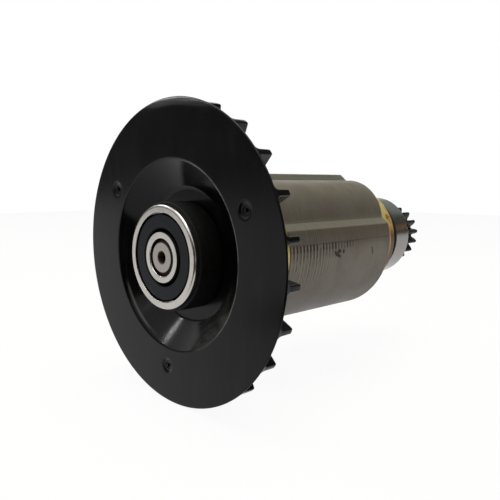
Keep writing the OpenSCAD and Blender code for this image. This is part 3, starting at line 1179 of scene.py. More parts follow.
@dataclass(frozen=True)
class Repeater:
    """Copies one mesh round or along the spin axis with a Geometry Nodes tree.

    First and step are radians round the axis, or metres along it. Slip, in
    millimetres, and twist, in degrees, are how far a stacked copy may be off.
    """

    spread: Spread
    copies: int
    first: float = 0.0
    step: float = 0.0
    slip: float = 0.0
    twist: float = 0.0
    seed: int = 7

    def sizes(self) -> dict[str, int | float]:
        """The tree's named inputs.

        Returns:
            Each input's value by its label, in metres and radians.
        """
        return {
            "Copies": self.copies, "First": float(self.first), "Step": float(self.step),
            "Slip": self.slip * MM, "Twist": math.radians(self.twist), "Seed": self.seed,
        }

    def tree(
        self, name: str, material: bpy.types.Material,
    ) -> tuple[bpy.types.NodeTree, dict[str, str]]:
        """Build the tree.

        Args:
            name: The tree's name.
            material: The material set on all copies.

        Returns:
            The tree, and the identifier of each named input.
        """
        tree = bpy.data.node_groups.new(name, "GeometryNodeTree")

        def declare(label: str, kind: str, in_out: str = "INPUT") -> str:
            """Declare one socket of the tree and return its identifier."""
            return tree.interface.new_socket(name=label, in_out=in_out, socket_type=kind).identifier

        declare("Geometry", "NodeSocketGeometry")
        names = {
            label: declare(label, "NodeSocketInt" if isinstance(size, int) else "NodeSocketFloat")
            for label, size in self.sizes().items()
        }
        declare("Geometry", "NodeSocketGeometry", "OUTPUT")
        given = tree.nodes.new("NodeGroupInput").outputs
        link = tree.links.new

        def sum_node(operation: str, *values: object) -> bpy.types.NodeSocket:
            """One Math node on sockets or numbers.

            Args:
                operation: The node's operation.
                values: Its inputs.

            Returns:
                Its result.
            """
            node = tree.nodes.new("ShaderNodeMath")
            node.operation = operation
            for socket, value in zip(node.inputs, values):
                if isinstance(value, bpy.types.NodeSocket):
                    link(value, socket)
                else:
                    socket.default_value = value
            return node.outputs[0]

        def scatter(size: bpy.types.NodeSocket) -> bpy.types.NodeSocket:
            """A random number between minus and plus a size, by copy.

            Args:
                size: The largest value.

            Returns:
                The random number.
            """
            node = tree.nodes.new("FunctionNodeRandomValue")
            node.data_type = "FLOAT"
            link(given["Seed"], node.inputs["Seed"])
            node.inputs[2].default_value = -1.0
            node.inputs[3].default_value = 1.0
            return sum_node("MULTIPLY", node.outputs[1], size)

        index = tree.nodes.new("GeometryNodeInputIndex").outputs[0]
        place = sum_node("ADD", sum_node("MULTIPLY", index, given["Step"]), given["First"])
        where = tree.nodes.new("ShaderNodeCombineXYZ")
        angle = tree.nodes.new("ShaderNodeCombineXYZ")
        if self.spread is Spread.ROUND:
            link(place, angle.inputs["Y"])
        else:
            link(scatter(given["Slip"]), where.inputs["X"])
            link(place, where.inputs["Y"])
            link(scatter(given["Slip"]), where.inputs["Z"])
            link(scatter(given["Twist"]), angle.inputs["Y"])
        turn = tree.nodes.new("FunctionNodeEulerToRotation")
        link(angle.outputs[0], turn.inputs[0])
        points = tree.nodes.new("GeometryNodePoints")
        link(given["Copies"], points.inputs["Count"])
        copies = tree.nodes.new("GeometryNodeInstanceOnPoints")
        link(points.outputs[0], copies.inputs["Points"])
        link(given["Geometry"], copies.inputs["Instance"])
        link(turn.outputs[0], copies.inputs["Rotation"])
        # The copies are turned where they are made, about the spin axis, and then moved
        move = tree.nodes.new("GeometryNodeTranslateInstances")
        link(copies.outputs[0], move.inputs["Instances"])
        link(where.outputs[0], move.inputs["Translation"])
        move.inputs["Local Space"].default_value = False
        real = tree.nodes.new("GeometryNodeRealizeInstances")
        link(move.outputs[0], real.inputs[0])
        paint = tree.nodes.new("GeometryNodeSetMaterial")
        paint.inputs["Material"].default_value = material
        link(real.outputs[0], paint.inputs["Geometry"])
        link(paint.outputs[0], tree.nodes.new("NodeGroupOutput").inputs[0])
        return tree, names

    def apply(self, piece: bpy.types.Object, finish: Finish) -> None:
        """Turn one mesh into all its copies, as one plain mesh.

        Args:
            piece: The mesh that is copied.
            finish: The finish of all the copies.
        """
        tree, names = self.tree(f"{piece.name}_copies", finish.material())
        tool = piece.modifiers.new("copies", "NODES")
        tool.node_group = tree
        for label, size in self.sizes().items():
            tool[names[label]] = size
        settle(piece)
        shade(piece.data)


# --- Bearings ---------------------------------------------------------------

class End(enum.Enum):
    """The two bearings, by the end of the rotor that they carry."""

    FRONT = "front"
    REAR = "rear"


@dataclass(frozen=True)
class BallBearing:
    """A sealed deep-groove ball bearing."""

    end: End
    bore_radius: float = 4.0
    outer_radius: float = 11.0
    inner_wall: float = 1.36
    outer_wall: float = 1.58
    ball_radius: float = 1.985
    ball_gap: float = 0.045
    shoulder: float = 1.43
    seal_seat: float = 1.0
    seal_sink: float = 0.2
    seal_thickness: float = 0.6
    lip_gap: float = 0.10
    rim_gap: float = 0.20

    @property
    def start(self) -> float:
        """Place of the bearing's first face."""
        return span(f"{self.end.value}_outer_ring")[0]

    @property
    def width(self) -> float:
        """Width of the bearing."""
        return span(f"{self.end.value}_outer_ring")[1] - self.start

    @property
    def inner_land(self) -> float:
        """Radius of the inner ring's land, which the seals' lips stand over."""
        return self.bore_radius + self.inner_wall

    @property
    def outer_land(self) -> float:
        """Radius of the outer ring's land, which the seals are pressed into."""
        return self.outer_radius - self.outer_wall

    @property
    def pitch_radius(self) -> float:
        """Radius of the circle that the balls run on."""
        return (self.bore_radius + self.outer_radius) / 2

    @property
    def side_body(self) -> str:
        """The body of the ring that stays in its seat."""
        return f"{self.end.value}_bearing_side"

    def raceway(self, side: int) -> list[Point]:
        """The groove that the balls run in, cut into a ring's shoulder.

        Args:
            side: 1 for the outer ring's groove, -1 for the inner ring's.

        Returns:
            The groove's points, from the far shoulder to the near one.
        """
        radius = self.ball_radius + self.ball_gap
        half = math.degrees(math.asin(math.sqrt(radius**2 - self.shoulder**2) / radius))
        centre = (self.pitch_radius, self.width / 2)
        if side > 0:
            return arc(centre, radius, half, -half, 12)
        return arc(centre, radius, 180 + half, 180 - half, 12)

    def ring(
        self, name: str, profile: Sequence[Corner], groove: Sequence[Point], at: int,
    ) -> bpy.types.Object:
        """Turn a bearing ring, with its raceway put in after one of its sharp corners.

        Args:
            name: The ring's name after its bearing's.
            profile: Its corners, from the bearing's first face.
            groove: The raceway's points.
            at: Which corner the raceway follows.

        Returns:
            The ring.
        """
        points = rounded(profile, 4)
        after = points.index(profile[at][:2]) + 1
        points[after:after] = groove
        return lathe(f"{self.end.value}_{name}", [(r, z + self.start) for r, z in points], 160)

    def outer_ring(self) -> bpy.types.Object:
        """The outer ring, its lands stepped for the seals.

        Returns:
            The ring.
        """
        land, shoulder = self.outer_land, self.pitch_radius + self.shoulder
        near, far = self.seal_seat, self.width - self.seal_seat
        outer = self.outer_radius
        piece = self.ring("ring_outer", [
            (land, 0.0, 0.10), (outer, 0.0, 0.50), (outer, self.width, 0.50),
            (land, self.width, 0.10), (land, far, 0.0), (shoulder, far, 0.0), (shoulder, near, 0.0),
            (land, near, 0.0),
        ], self.raceway(1), 5)
        finish = BEARING_STEEL if self.end is End.FRONT else REAR_STEEL
        return finish_piece(piece, finish, self.side_body, f"{self.end.value}_outer_ring")

    def inner_ring(self) -> bpy.types.Object:
        """The inner ring, pressed on the shaft.

        Returns:
            The ring.
        """
        land, shoulder = self.inner_land, self.pitch_radius - self.shoulder
        near, far = self.seal_seat, self.width - self.seal_seat
        piece = self.ring("ring_inner", [
            (self.bore_radius, self.width, 0.2), (self.bore_radius, 0.0, 0.2), (land, 0.0, 0.04),
            (land, near, 0.0), (shoulder, near, 0.0), (shoulder, far, 0.0), (land, far, 0.0),
            (land, self.width, 0.10),
        ], self.raceway(-1)[::-1], 4)
        finish = INNER_STEEL if self.end is End.FRONT else BEARING_STEEL
        return finish_piece(piece, finish, "rotor", f"{self.end.value}_inner_ring")

    def seal(self, name: str, node: str, far: bool) -> bpy.types.Object:
        """A rubber seal with a lip, a groove and a pressed-in rim.

        Args:
            name: The piece's name.
            node: The CAD node that it stands for.
            far: True for the seal of the bearing's second face.

        Returns:
            The seal.
        """
        lip, rim = self.inner_land + self.lip_gap, self.outer_land - self.rim_gap
        face, back = self.seal_sink, self.seal_sink + self.seal_thickness + 0.1
        low = face + 0.40
        points = rounded([
            (lip, low + 0.06, 0.06), (lip + 0.30, low, 0.05), (lip + 0.52, low, 0.05),
            (lip + 0.76, face, 0.07), (rim - 0.42, face, 0.05), (rim - 0.30, face + 0.05, 0.04),
            (rim, face + 0.05, 0.16), (rim, back, 0.0), (lip, back, 0.0),
        ], 3)
        if far:
            points = [(radius, self.width - along) for radius, along in points]
        piece = lathe(name, [(radius, along + self.start) for radius, along in points], 144)
        return finish_piece(piece, SEAL_RUBBER, self.side_body, node)

    def sleeve(self) -> bpy.types.Object:
        """The rubber sleeve that seats the front bearing in its housing.

        Returns:
            The sleeve.
        """
        low, high = span("bearing_sleeve")
        inner, outer = self.outer_radius, reach("bearing_sleeve")
        profile = [(inner, low, 0.0), (outer, low, 0.18), (outer, high, 0.18), (inner, high, 0.0)]
        piece = lathe("bearing_sleeve_moulding", rounded(profile, 4), 160)
        return finish_piece(piece, SLEEVE_RUBBER, self.side_body, "bearing_sleeve")

    def build(self) -> None:
        """Build every piece of this bearing."""
        name = self.end.value
        LOG.info("%s bearing", name)
        self.outer_ring()
        self.inner_ring()
        # The plain seal is the one that looks out from the rotor
        near, far = f"{name}_bearing_seal", f"{name}_bearing_inner_seal"
        if self.end is End.REAR:
            near, far = far, near
        self.seal(f"{name}_seal_near", near, False)
        self.seal(f"{name}_seal_far", far, True)
        if self.end is End.FRONT:
            self.sleeve()
        dress_nodes(BALL_STEEL, f"{name}_balls")
        dress_nodes(CAGE_POLYMER, f"{name}_cage")


# --- Fan --------------------------------------------------------------------

@dataclass(frozen=True)
class FanMoulding:
    """The moulded fan: a dished disc with straight blades behind it."""

    outer_radius: float = 32.4
    disc_thickness: float = 1.2
    recess_radius: float = 20.35
    floor_radius: float = 14.45
    floor_depth: float = 7.5
    wall: float = 1.7
    hub_radius: float = 8.5
    bore_radius: float = 5.0
    blades: int = 24
    blade_thickness: float = 1.3
    blade_phase: float = 4.8
    blade_draft: float = 0.06
    foot_fillet: float = 1.1
    blade_rim_height: float = 2.8
    knee_rise: float = 2.5
    crown_width: float = 0.30
    crown_drop: float = 0.20
    rim_thickness: float = 0.26
    rim_slope: float = 2.2
    dimples: int = 3
    dimple_circle: float = 24.4
    dimple_radius: float = 1.7
    dimple_depth: float = 0.5
    dimple_phase: float = -25.5

    # A blade's sections: past the hub, by their own radius, and short of the outer end with
    # how far each of those draws in
    HUB_SECTIONS: ClassVar[tuple[float, ...]] = (-0.5, 1.5, 2.6, 3.4)
    SECTIONS: ClassVar[tuple[float, ...]] = (
        13.5, 15.3, 16.8, 18.3, 19.8, 20.6, 21.4, 24.0, 27.0, 30.0, 30.6, 31.4,
    )
    END_SECTIONS: ClassVar[tuple[Point, ...]] = (
        (0.42, 0.0), (0.24, 0.012), (0.12, 0.045), (0.04, 0.11), (0.0, 0.22),
    )

    @property
    def face(self) -> float:
        """Place of the fan's flat face."""
        return span("fan")[0]

    @property
    def end(self) -> float:
        """Place of the hub's end."""
        return span("fan")[1]

    @property
    def disc_back(self) -> float:
        """Place of the disc's back."""
        return self.face + self.disc_thickness

    @property
    def floor_back(self) -> float:
        """Place of the back of the recess's floor."""
        return self.floor_depth + self.wall

    @property
    def blade_reach(self) -> float:
        """Radius of the blades' outer ends."""
        return self.outer_radius - 0.15

    @property
    def dimple_centres(self) -> list[Vector]:
        """Middles of the ejector dimples, in the CAD source's plane."""
        turns = [360 / self.dimples * index for index in range(self.dimples)]
        return [polar(self.dimple_circle, self.dimple_phase + turn) for turn in turns]

    def dish(self) -> bpy.types.Object:
        """Disc, recess and hub, turned as one.

        Returns:
            The dish, with its ejector dimples.
        """
        rim, half, back = self.outer_radius, self.wall / 2, self.floor_back
        crown = [
            (rim - self.crown_width * (1 - math.sin(turn)),
             self.face + self.crown_drop * (1 - math.cos(turn)), 0.0)
            for turn in (math.radians(10 * step) for step in range(10))
        ]
        profile = rounded([
            (self.bore_radius, self.floor_depth, 0.0), (self.floor_radius, self.floor_depth, 1.2),
            (self.recess_radius, self.face, 0.8), (rim - self.crown_width - 0.3, self.face, 0.0),
            *crown, (rim, self.face + self.rim_thickness, 0.04),
            (rim - self.rim_slope, self.disc_back, 0.6),
            (self.recess_radius + half, self.disc_back, 0.8),
            (self.floor_radius + half, back, 1.2), (self.hub_radius, back, 0.8),
            (self.hub_radius, self.end, 0.3), (self.bore_radius, self.end, 0.0),
        ], 7)
        piece = lathe("fan_dish", profile, 240)
        for centre in self.dimple_centres:
            cut(piece, self.dimple_cutter(centre))
        self.keep_face_flat(piece.data)
        return piece

    def keep_face_flat(self, mesh: bpy.types.Mesh) -> None:
        """Mark the dimples' edges sharp, so that the face round them shades flat.

        Args:
            mesh: The dish's mesh.
        """
        shell = bmesh.new()
        shell.from_mesh(mesh)
        centres = [in_frame(centre, self.face) for centre in self.dimple_centres]
        nearness = (self.dimple_radius + 0.6) * MM
        for edge in shell.edges:
            middle = (edge.verts[0].co + edge.verts[1].co) / 2
            flat = [face for face in edge.link_faces if face.normal.y < -0.99999]
            if len(flat) == 1 and any((middle - centre).length < nearness for centre in centres):
                edge.smooth = False
        shell.to_mesh(mesh)
        shell.free()

    def dimple_cutter(self, centre: Vector) -> bpy.types.Object:
        """The shape of an ejector dimple with its nub, to take out of the disc.

        Args:
            centre: The dimple's middle in the CAD source's plane.

        Returns:
            The cutter.
        """
        nub, edge = self.dimple_radius / 4, self.dimple_radius + 0.35
        low, high = self.face - 0.2, self.face + self.dimple_depth
        profile = rounded([
            (nub * 0.7, low, 0.0), (edge, low, 0.0), (edge, self.face + 0.004, 0.0),
            (edge * 0.82, self.face + 0.03, 0.5), (nub * 2.7, high - 0.24, 0.4),
            (nub * 1.9, high - 0.22, 0.06), (nub * 1.75, high, 0.06), (nub, high, 0.06),
            (nub * 0.7, high - 0.3, 0.0),
        ], 4)
        return lathe("dimple_cutter", profile, 40, (centre.x, -centre.y))

    def back_of_dish(self, radius: float) -> float:
        """Place of the dish's back at a radius.

        Args:
            radius: The radius.

        Returns:
            The place along the axis.
        """
        half = self.wall / 2
        inner, outer = self.floor_radius + half, self.recess_radius + half
        if radius <= inner:
            return self.floor_back
        if radius >= outer:
            thinner = (self.disc_thickness - self.rim_thickness) / self.rim_slope
            return self.disc_back - thinner * max(0.0, radius - self.outer_radius + self.rim_slope)
        share = (radius - inner) / (outer - inner)
        return self.floor_back + (self.disc_back - self.floor_back) * share

    def blade_top(self, radius: float) -> float:
        """Place of a blade's free edge at a radius.

        Args:
            radius: The radius.

        Returns:
            The place along the axis.
        """
        tip = self.disc_back + self.blade_rim_height
        corners = [
            (0.0, self.end - 0.8), (self.hub_radius + 3.0, self.end - 0.8),
            (self.recess_radius, tip + self.knee_rise), (self.blade_reach, tip),
        ]
        for (r0, z0), (r1, z1) in zip(corners, corners[1:]):
            if radius <= r1:
                return z0 + (z1 - z0) * max(0.0, radius - r0) / (r1 - r0)
        return tip

    def blade_section(self, radius: float, inset_by: float) -> list[Vector]:
        """Section of a blade across its length.

        Args:
            radius: Where along the blade.
            inset_by: How far the free edge and the sides draw in, for a rounded end.

        Returns:
            Points from one foot to the other, in metres, with the blade along +X.
        """
        half = self.blade_thickness / 2 - inset_by
        foot, fillet = self.back_of_dish(radius), self.foot_fillet
        top = self.blade_top(radius) - inset_by
        thin = half - self.blade_draft * (top - foot) / 5
        edge = min(0.28, thin * 0.6)
        side = [(half + fillet, max(foot - 0.45, self.face + 0.1))]
        for turn in (math.radians(18 * step) for step in range(6)):
            side.append((
                half + fillet * (1 - math.sin(turn)), foot + fillet * (1 - math.cos(turn)) - 0.02,
            ))
        for turn in (math.radians(22.5 * step) for step in range(5)):
            side.append((thin - edge + edge * math.cos(turn), top - edge + edge * math.sin(turn)))
        outline = [(-z, along) for z, along in side] + side[::-1]
        return [Vector((radius, along, z)) * MM for z, along in outline]

    def blade(self) -> bpy.types.Object:
        """One blade along +X, before it is copied round.

        Returns:
            The blade.
        """
        stations = [(self.hub_radius + past, 0.0) for past in self.HUB_SECTIONS]
        stations += [(radius, 0.0) for radius in self.SECTIONS]
        stations += [(self.blade_reach - short, drawn) for short, drawn in self.END_SECTIONS]
        sections = [self.blade_section(radius, inset_by) for radius, inset_by in stations]
        return loft("fan_blades", sections, 40.0)

    def build(self) -> None:
        """Build the dish and its blades."""
        finish_piece(self.dish(), FAN_PLASTIC, "rotor", "fan")
        blades = self.blade()
        first, step = math.radians(self.blade_phase), math.tau / self.blades
        Repeater(Spread.ROUND, self.blades, first, step).apply(blades, FAN_PLASTIC)
        finish_piece(blades, FAN_PLASTIC, "rotor", "fan")


# --- Core -------------------------------------------------------------------

@dataclass(frozen=True)
class LaminatedCore:
    """The stack of stamped sheets, with its end plates."""

    radius: float = 17.5
    wide_half: float = 57.4
    crown_half: float = 26.7
    crown_drop: float = 1.2
    phase: float = 39.2
    seam_radius: float = 0.09
    seam_angle: float = 46.0
    bore_radius: float = 5.0
    magnet_width: float = 12.0
    magnet_thickness: float = 2.5
    magnet_cover: float = 2.5
    glue_gap: float = 0.05
    sheets: int = 50
    sheet_gap: float = 0.008
    sheet_bevel: float = 0.02
    plate_bevel: float = 0.12
    slip: float = 0.012
    twist: float = 0.04

    # How the wide pole's two ends round off: depth, and degrees from the end
    END_ROUND: ClassVar[tuple[Point, ...]] = ((0.12, 0.25), (0.03, 0.7))
    END_ROUND_FROM: ClassVar[float] = 1.2

    @property
    def magnet_radius(self) -> float:
        """Distance of a magnet's inner face from the axis."""
        corner = self.radius - self.magnet_cover
        return math.sqrt(corner**2 - (self.magnet_width / 2) ** 2) - self.magnet_thickness

    def half_outline(self) -> list[Point]:
        """One wide pole and the crowned pole after it, anticlockwise.

        Returns:
            The outline's points, before it is turned to its place.
        """
        notch = math.degrees(self.seam_radius / self.radius)
        wide, seam = self.wide_half, self.seam_angle
        points = [tuple(polar(self.radius - depth, turn - wide)) for depth, turn in self.END_ROUND]
        for start, end, steps in (
            (-wide + self.END_ROUND_FROM, -seam - notch, 5), (-seam + notch, seam - notch, 44),
            (seam + notch, wide - self.END_ROUND_FROM, 5),
        ):
            points += arc((0.0, 0.0), self.radius, start, end, steps)
            if end < seam:
                middle = end + notch
                centre = tuple(polar(self.radius, middle))
                points += arc(centre, self.seam_radius, middle - 90, middle - 270, 6)[1:-1]
        points += [
            tuple(polar(self.radius - depth, wide - turn)) for depth, turn in self.END_ROUND[::-1]
        ]
        end = polar(self.radius - self.crown_drop, 90 - self.crown_half)
        rise = self.radius - end.y
        crown = (end.x**2 + rise**2) / (2 * rise)
        lean = math.degrees(math.asin(end.x / crown))
        return points + arc((0.0, self.radius - crown), crown, 90 - lean, 90 + lean, 26)

    def outline(self) -> list[Point]:
        """The whole outline, turned to its place.

        Returns:
            The outline's points.
        """
        turn = Matrix.Rotation(math.radians(self.phase), 2)
        half = [turn @ Vector(point) for point in self.half_outline()]
        return [tuple(point) for point in half] + [tuple(-point) for point in half]

    def bore(self) -> list[Point]:
        """The shaft's hole, clockwise."""
        return arc((0.0, 0.0), self.bore_radius, 360, 0, 40)[:-1]

    def slots(self) -> list[list[Point]]:
        """The magnets' slots, clockwise.

        Returns:
            The corners of each slot.
        """
        low = self.magnet_radius - self.glue_gap
        high = self.magnet_radius + self.magnet_thickness + self.glue_gap
        half = self.magnet_width / 2 + self.glue_gap
        corners = ((low, -half), (low, half), (high, half), (high, -half))
        turns = (
            Matrix.Rotation(math.radians(self.phase + 90 * quarter), 2) for quarter in range(4)
        )
        return [[tuple(turn @ Vector(corner)) for corner in corners] for turn in turns]

    def stack(self) -> bpy.types.Object:
        """The sheets, one stamped and then stacked along the axis.

        Returns:
            The stack.
        """
        low, high = span("rotor_core")
        pitch = (high - low) / self.sheets
        sheet = prism(
            "core_sheets", self.outline(), [self.bore(), *self.slots()],
            0.0, pitch - self.sheet_gap, self.sheet_bevel,
        )
        Repeater(
            Spread.ALONG, self.sheets, (low + self.sheet_gap / 2) * MM, pitch * MM,
            slip=self.slip, twist=self.twist,
        ).apply(sheet, CORE_STEEL)
        return sheet

    def end_plate(self, name: str, node: str, finish: Finish) -> None:
        """A thin plate over one end of the stack.

        Args:
            name: The plate's name.
            node: The CAD node that it stands for.
            finish: Its finish.
        """
        plate = prism(name, self.outline(), [self.bore()], *span(node), self.plate_bevel)
        finish_piece(plate, finish, "rotor", node)

    def build(self) -> None:
        """Build the stack, both plates, and dress the magnets inside."""
        finish_piece(self.stack(), CORE_STEEL, "rotor", "rotor_core")
        self.end_plate("end_plate_front", "front_end_plate", PLATE_BRASS)
        self.end_plate("end_plate_rear", "rear_end_plate", CORE_STEEL)
        dress_nodes(MAGNET_PLATING, "magnet_1", "magnet_2", "magnet_3", "magnet_4")


# --- Balance rings, shaft, gear ---------------------------------------------

@dataclass(frozen=True)
class BalanceRings:
    """The two brass rings that the rotor is balanced with."""

    radius: float = 13.7
    bore_radius: float = 5.0
    edge: float = 0.4
    groove_depth: float = 0.18
    pit_radius: float = 0.9
    pit_depth: float = 1.4
    pit_tip: float = 0.5
    pit_in: float = 1.6
    pit_angle: float = -27.5

    # Radii of the groove in each face: where it starts, its floor, and its end
    GROOVE: ClassVar[Band] = (9.2, 9.5, 11.6, 11.9)

    def ring(self, name: str, node: str) -> bpy.types.Object:
        """One ring, turned with a shallow groove in each face.

        Args:
            name: The ring's name.
            node: The CAD node that it stands for.

        Returns:
            The ring.
        """
        low, high = span(node)
        depths = (0.0, self.groove_depth, self.groove_depth, 0.0)
        front = [(radius, low + depth, 0.05) for radius, depth in zip(self.GROOVE, depths)]
        back = [(radius, high - depth, 0.05) for radius, depth in zip(self.GROOVE, depths)]
        profile = rounded([
            (self.bore_radius, low, 0.0), *front, (self.radius, low, self.edge),
            (self.radius, high, self.edge), *back[::-1], (self.bore_radius, high, 0.0),
        ], 4)
        return lathe(name, profile, 160)

    def pit(self, along: float) -> bpy.types.Object:
        """The drill's shape, standing where the ring was lightened.

        Args:
            along: Place of the drill's middle along the axis.

        Returns:
            The cutter.
        """
        shell = bmesh.new()
        floor = self.radius - self.pit_depth
        mouth, foot = (
            [shell.verts.new((x, y, height)) for x, y in circle(self.pit_radius, 28)]
            for height in (self.radius + 1.0, floor)
        )
        tip = shell.verts.new((0.0, 0.0, floor - self.pit_tip))
        join_rings(shell, mouth, foot)
        join_rings(shell, foot, [tip] * len(foot))
        shell.faces.new(mouth)
        outward = in_frame(polar(1.0, self.pit_angle), 0.0).normalized()
        turn = outward.to_track_quat("Z", "Y").to_matrix().to_4x4()
        place = Matrix.Translation(Vector((0.0, along, 0.0)) * MM) @ turn @ Matrix.Scale(MM, 4)
        bmesh.ops.transform(shell, matrix=place, verts=shell.verts)
        return new_object("pit_cutter", shell)

    def build(self) -> None:
        """Build both rings, the rear one with its drilled pit."""
        front = self.ring("balance_ring_front", "front_balance_ring")
        finish_piece(front, RING_BRASS, "rotor", "front_balance_ring")
        rear = self.ring("balance_ring_rear", "rear_balance_ring")
        cut(rear, self.pit(span("rear_balance_ring")[1] - self.pit_in))
        finish_piece(rear, RING_BRASS, "rotor", "rear_balance_ring")


@dataclass(frozen=True)
class RotorShaft:
    """The stepped shaft with a centre hole in each end."""

    seat_radius: float = 4.0
    body_radius: float = 5.0
    tail_radius: float = 3.5
    front_chamfer: float = 0.85
    rear_chamfer: float = 0.5
    hole_radius: float = 1.25
    hole_depth: float = 4.0
    hole_tip: float = 0.7
    countersink: float = 0.10

    def build(self) -> None:
        """Turn the shaft in one piece."""
        start, end = span("shaft")
        front = span("front_outer_ring")[1]
        rear, gear = span("rear_outer_ring")
        seat, body, tail = self.seat_radius, self.body_radius, self.tail_radius
        hole, sink, deep = self.hole_radius, self.countersink, start + self.hole_depth
        front_hole = [
            (0.0, deep + self.hole_tip, 0.0), (hole, deep, 0.0), (hole, start + sink, 0.0),
            (hole + sink, start, 0.04),
        ]
        steps = [
            (seat - self.front_chamfer, start, 0.08), (seat, start + self.front_chamfer, 0.08),
            (seat, front, 0.0), (body, front, 0.12), (body, rear, 0.12), (seat, rear, 0.0),
            (seat, gear, 0.08), (tail, gear, 0.0), (tail, end - self.rear_chamfer, 0.06),
            (tail - self.rear_chamfer, end, 0.06),
        ]
        rear_hole = [(r, start + end - along, edge) for r, along, edge in reversed(front_hole)]
        piece = lathe("rotor_shaft", rounded(front_hole + steps + rear_hole, 3), 112)
        finish_piece(piece, GROUND_STEEL, "rotor", "shaft")


@dataclass(frozen=True)
class DriveGear:
    """The small spur gear at the rear, with involute teeth."""

    teeth: int = 16
    module: float = 0.9
    face_width: float = 8.6
    hub_radius: float = 5.2
    bore_radius: float = 3.5
    phase: float = 15.4
    pressure: float = 20.0
    end_bevel: float = 0.16
    body_bevel: float = 0.08
    face_recess: float = 0.25

    # Height over the root circle and the extra half angle of a tooth there, in degrees
    ROOT_FLARE: ClassVar[tuple[Point, ...]] = (
        (0.0, 4.6), (0.08, 3.2), (0.22, 1.9), (0.42, 0.9), (0.62, 0.3),
    )

    @property
    def pitch_radius(self) -> float:
        """Radius of the pitch circle."""
        return self.module * self.teeth / 2

    @property
    def root_radius(self) -> float:
        """Radius of the tooth roots."""
        return self.pitch_radius - 1.25 * self.module

    @property
    def tip_radius(self) -> float:
        """Radius of the tooth tips."""
        return self.pitch_radius + self.module

    @property
    def base_radius(self) -> float:
        """Radius of the circle that the involutes start from."""
        return self.pitch_radius * math.cos(math.radians(self.pressure))

    def half_angle(self, radius: float) -> float:
        """Half of a tooth's angle at a radius, in degrees, from its involute.

        Args:
            radius: The radius.

        Returns:
            The half angle.
        """
        def spread(at: float) -> float:
            """Involute function at a radius, in degrees."""
            angle = math.acos(min(1.0, self.base_radius / at))
            return math.degrees(math.tan(angle) - angle)

        return 90 / self.teeth + spread(self.pitch_radius) - spread(max(self.base_radius, radius))

    def tooth_outline(self, shrink: float) -> list[Point]:
        """Outline of one tooth about the +X direction, sunk into the body.

        Args:
            shrink: How far the flanks and the tip draw in, for a bevelled end.

        Returns:
            The outline's points, anticlockwise.
        """
        root, pitch, tip = self.root_radius, self.pitch_radius, self.tip_radius
        foot = self.half_angle(self.base_radius)
        side = [(root - 0.5, foot + 5.6)]
        side += [(root + rise, foot + flare) for rise, flare in self.ROOT_FLARE]
        side += [
            (radius, self.half_angle(radius))
            for radius in ((self.base_radius + pitch) / 2, pitch, (pitch + tip) / 2, tip - 0.12)
        ]
        side.append((tip, self.half_angle(tip) * 0.62))
        points = []
        for radius, half in side:
            half = math.radians(half) - shrink / radius
            radius = min(radius, tip - shrink)
            points.append((radius * math.cos(half), -radius * math.sin(half)))
        return points + [(x, -y) for x, y in reversed(points)]

    def tooth(self, start: float, end: float) -> bpy.types.Object:
        """One tooth with both ends bevelled.

        Args:
            start: Place of its first end.
            end: Place of its last end.

        Returns:
            The tooth.
        """
        bevel = self.end_bevel
        ends = [(bevel, 0.0), (bevel * 0.3, bevel * 0.45), (0.0, bevel)]
        levels = [(shrink, start + depth) for shrink, depth in ends]
        levels += [(shrink, end - depth) for shrink, depth in reversed(ends)]
        sections = [
            [in_frame(point, along) for point in self.tooth_outline(shrink)]
            for shrink, along in levels
        ]
        return loft("gear_teeth", sections, 28.0)

    def build(self) -> None:
        """Build the gear's body and its teeth."""
        start, end = span("drive_gear")
        teeth_start, floor = end - self.face_width, end - self.face_recess
        bore, hub, root = self.bore_radius, self.hub_radius, self.root_radius
        bevel = self.body_bevel
        profile = rounded([
            (bore, start, 0.1), (hub, start, bevel), (hub, teeth_start, 0.0),
            (root, teeth_start, bevel), (root, end, bevel), (bore + 1.1, end, 0.1),
            (bore + 0.9, floor, 0.05), (bore, floor, 0.1),
        ], 3)
        finish_piece(lathe("gear_body", profile, 128), GEAR_OXIDE, "rotor", "drive_gear")
        teeth = self.tooth(teeth_start, end)
        first, step = math.radians(self.phase), math.tau / self.teeth
        Repeater(Spread.ROUND, self.teeth, first, step).apply(teeth, GEAR_OXIDE)
        finish_piece(teeth, GEAR_OXIDE, "rotor", "drive_gear")


# --- Studio -----------------------------------------------------------------

@dataclass(frozen=True)
class Softbox:
    """A square lamp that looks at the object."""

    name: str
    place: Corner
    size: float
    watts: float
    colour: Colour = (1.0, 1.0, 1.0)

    def build(self, target: Vector) -> None:
        """Put the lamp in its place, turned to the target.

        Args:
            target: The point that it looks at.
        """
        lamp = bpy.data.lights.new(self.name, "AREA")
        lamp.shape = "SQUARE"
        lamp.size = self.size
        lamp.energy = self.watts
        lamp.color = self.colour
        holder = link_object(self.name, lamp)
        holder.location = self.place
        holder.rotation_euler = (target - Vector(self.place)).to_track_quat("-Z", "Y").to_euler()


def flat_card(name: str, centre: Corner, across: Corner, up: Corner) -> bpy.types.Object:
    """A flat rectangle in metres, from its middle and its two whole sides.

    Args:
        name: The object's name.
        centre: Its middle.
        across: Its first side.
        up: Its second side.

    Returns:
        The card.
    """
    shell = bmesh.new()
    middle, across, up = Vector(centre), Vector(across) / 2, Vector(up) / 2
    low, high = middle - up, middle + up
    corners = (low - across, low + across, high + across, high - across)
    shell.faces.new([shell.verts.new(corner) for corner in corners])
    return new_object(name, shell)


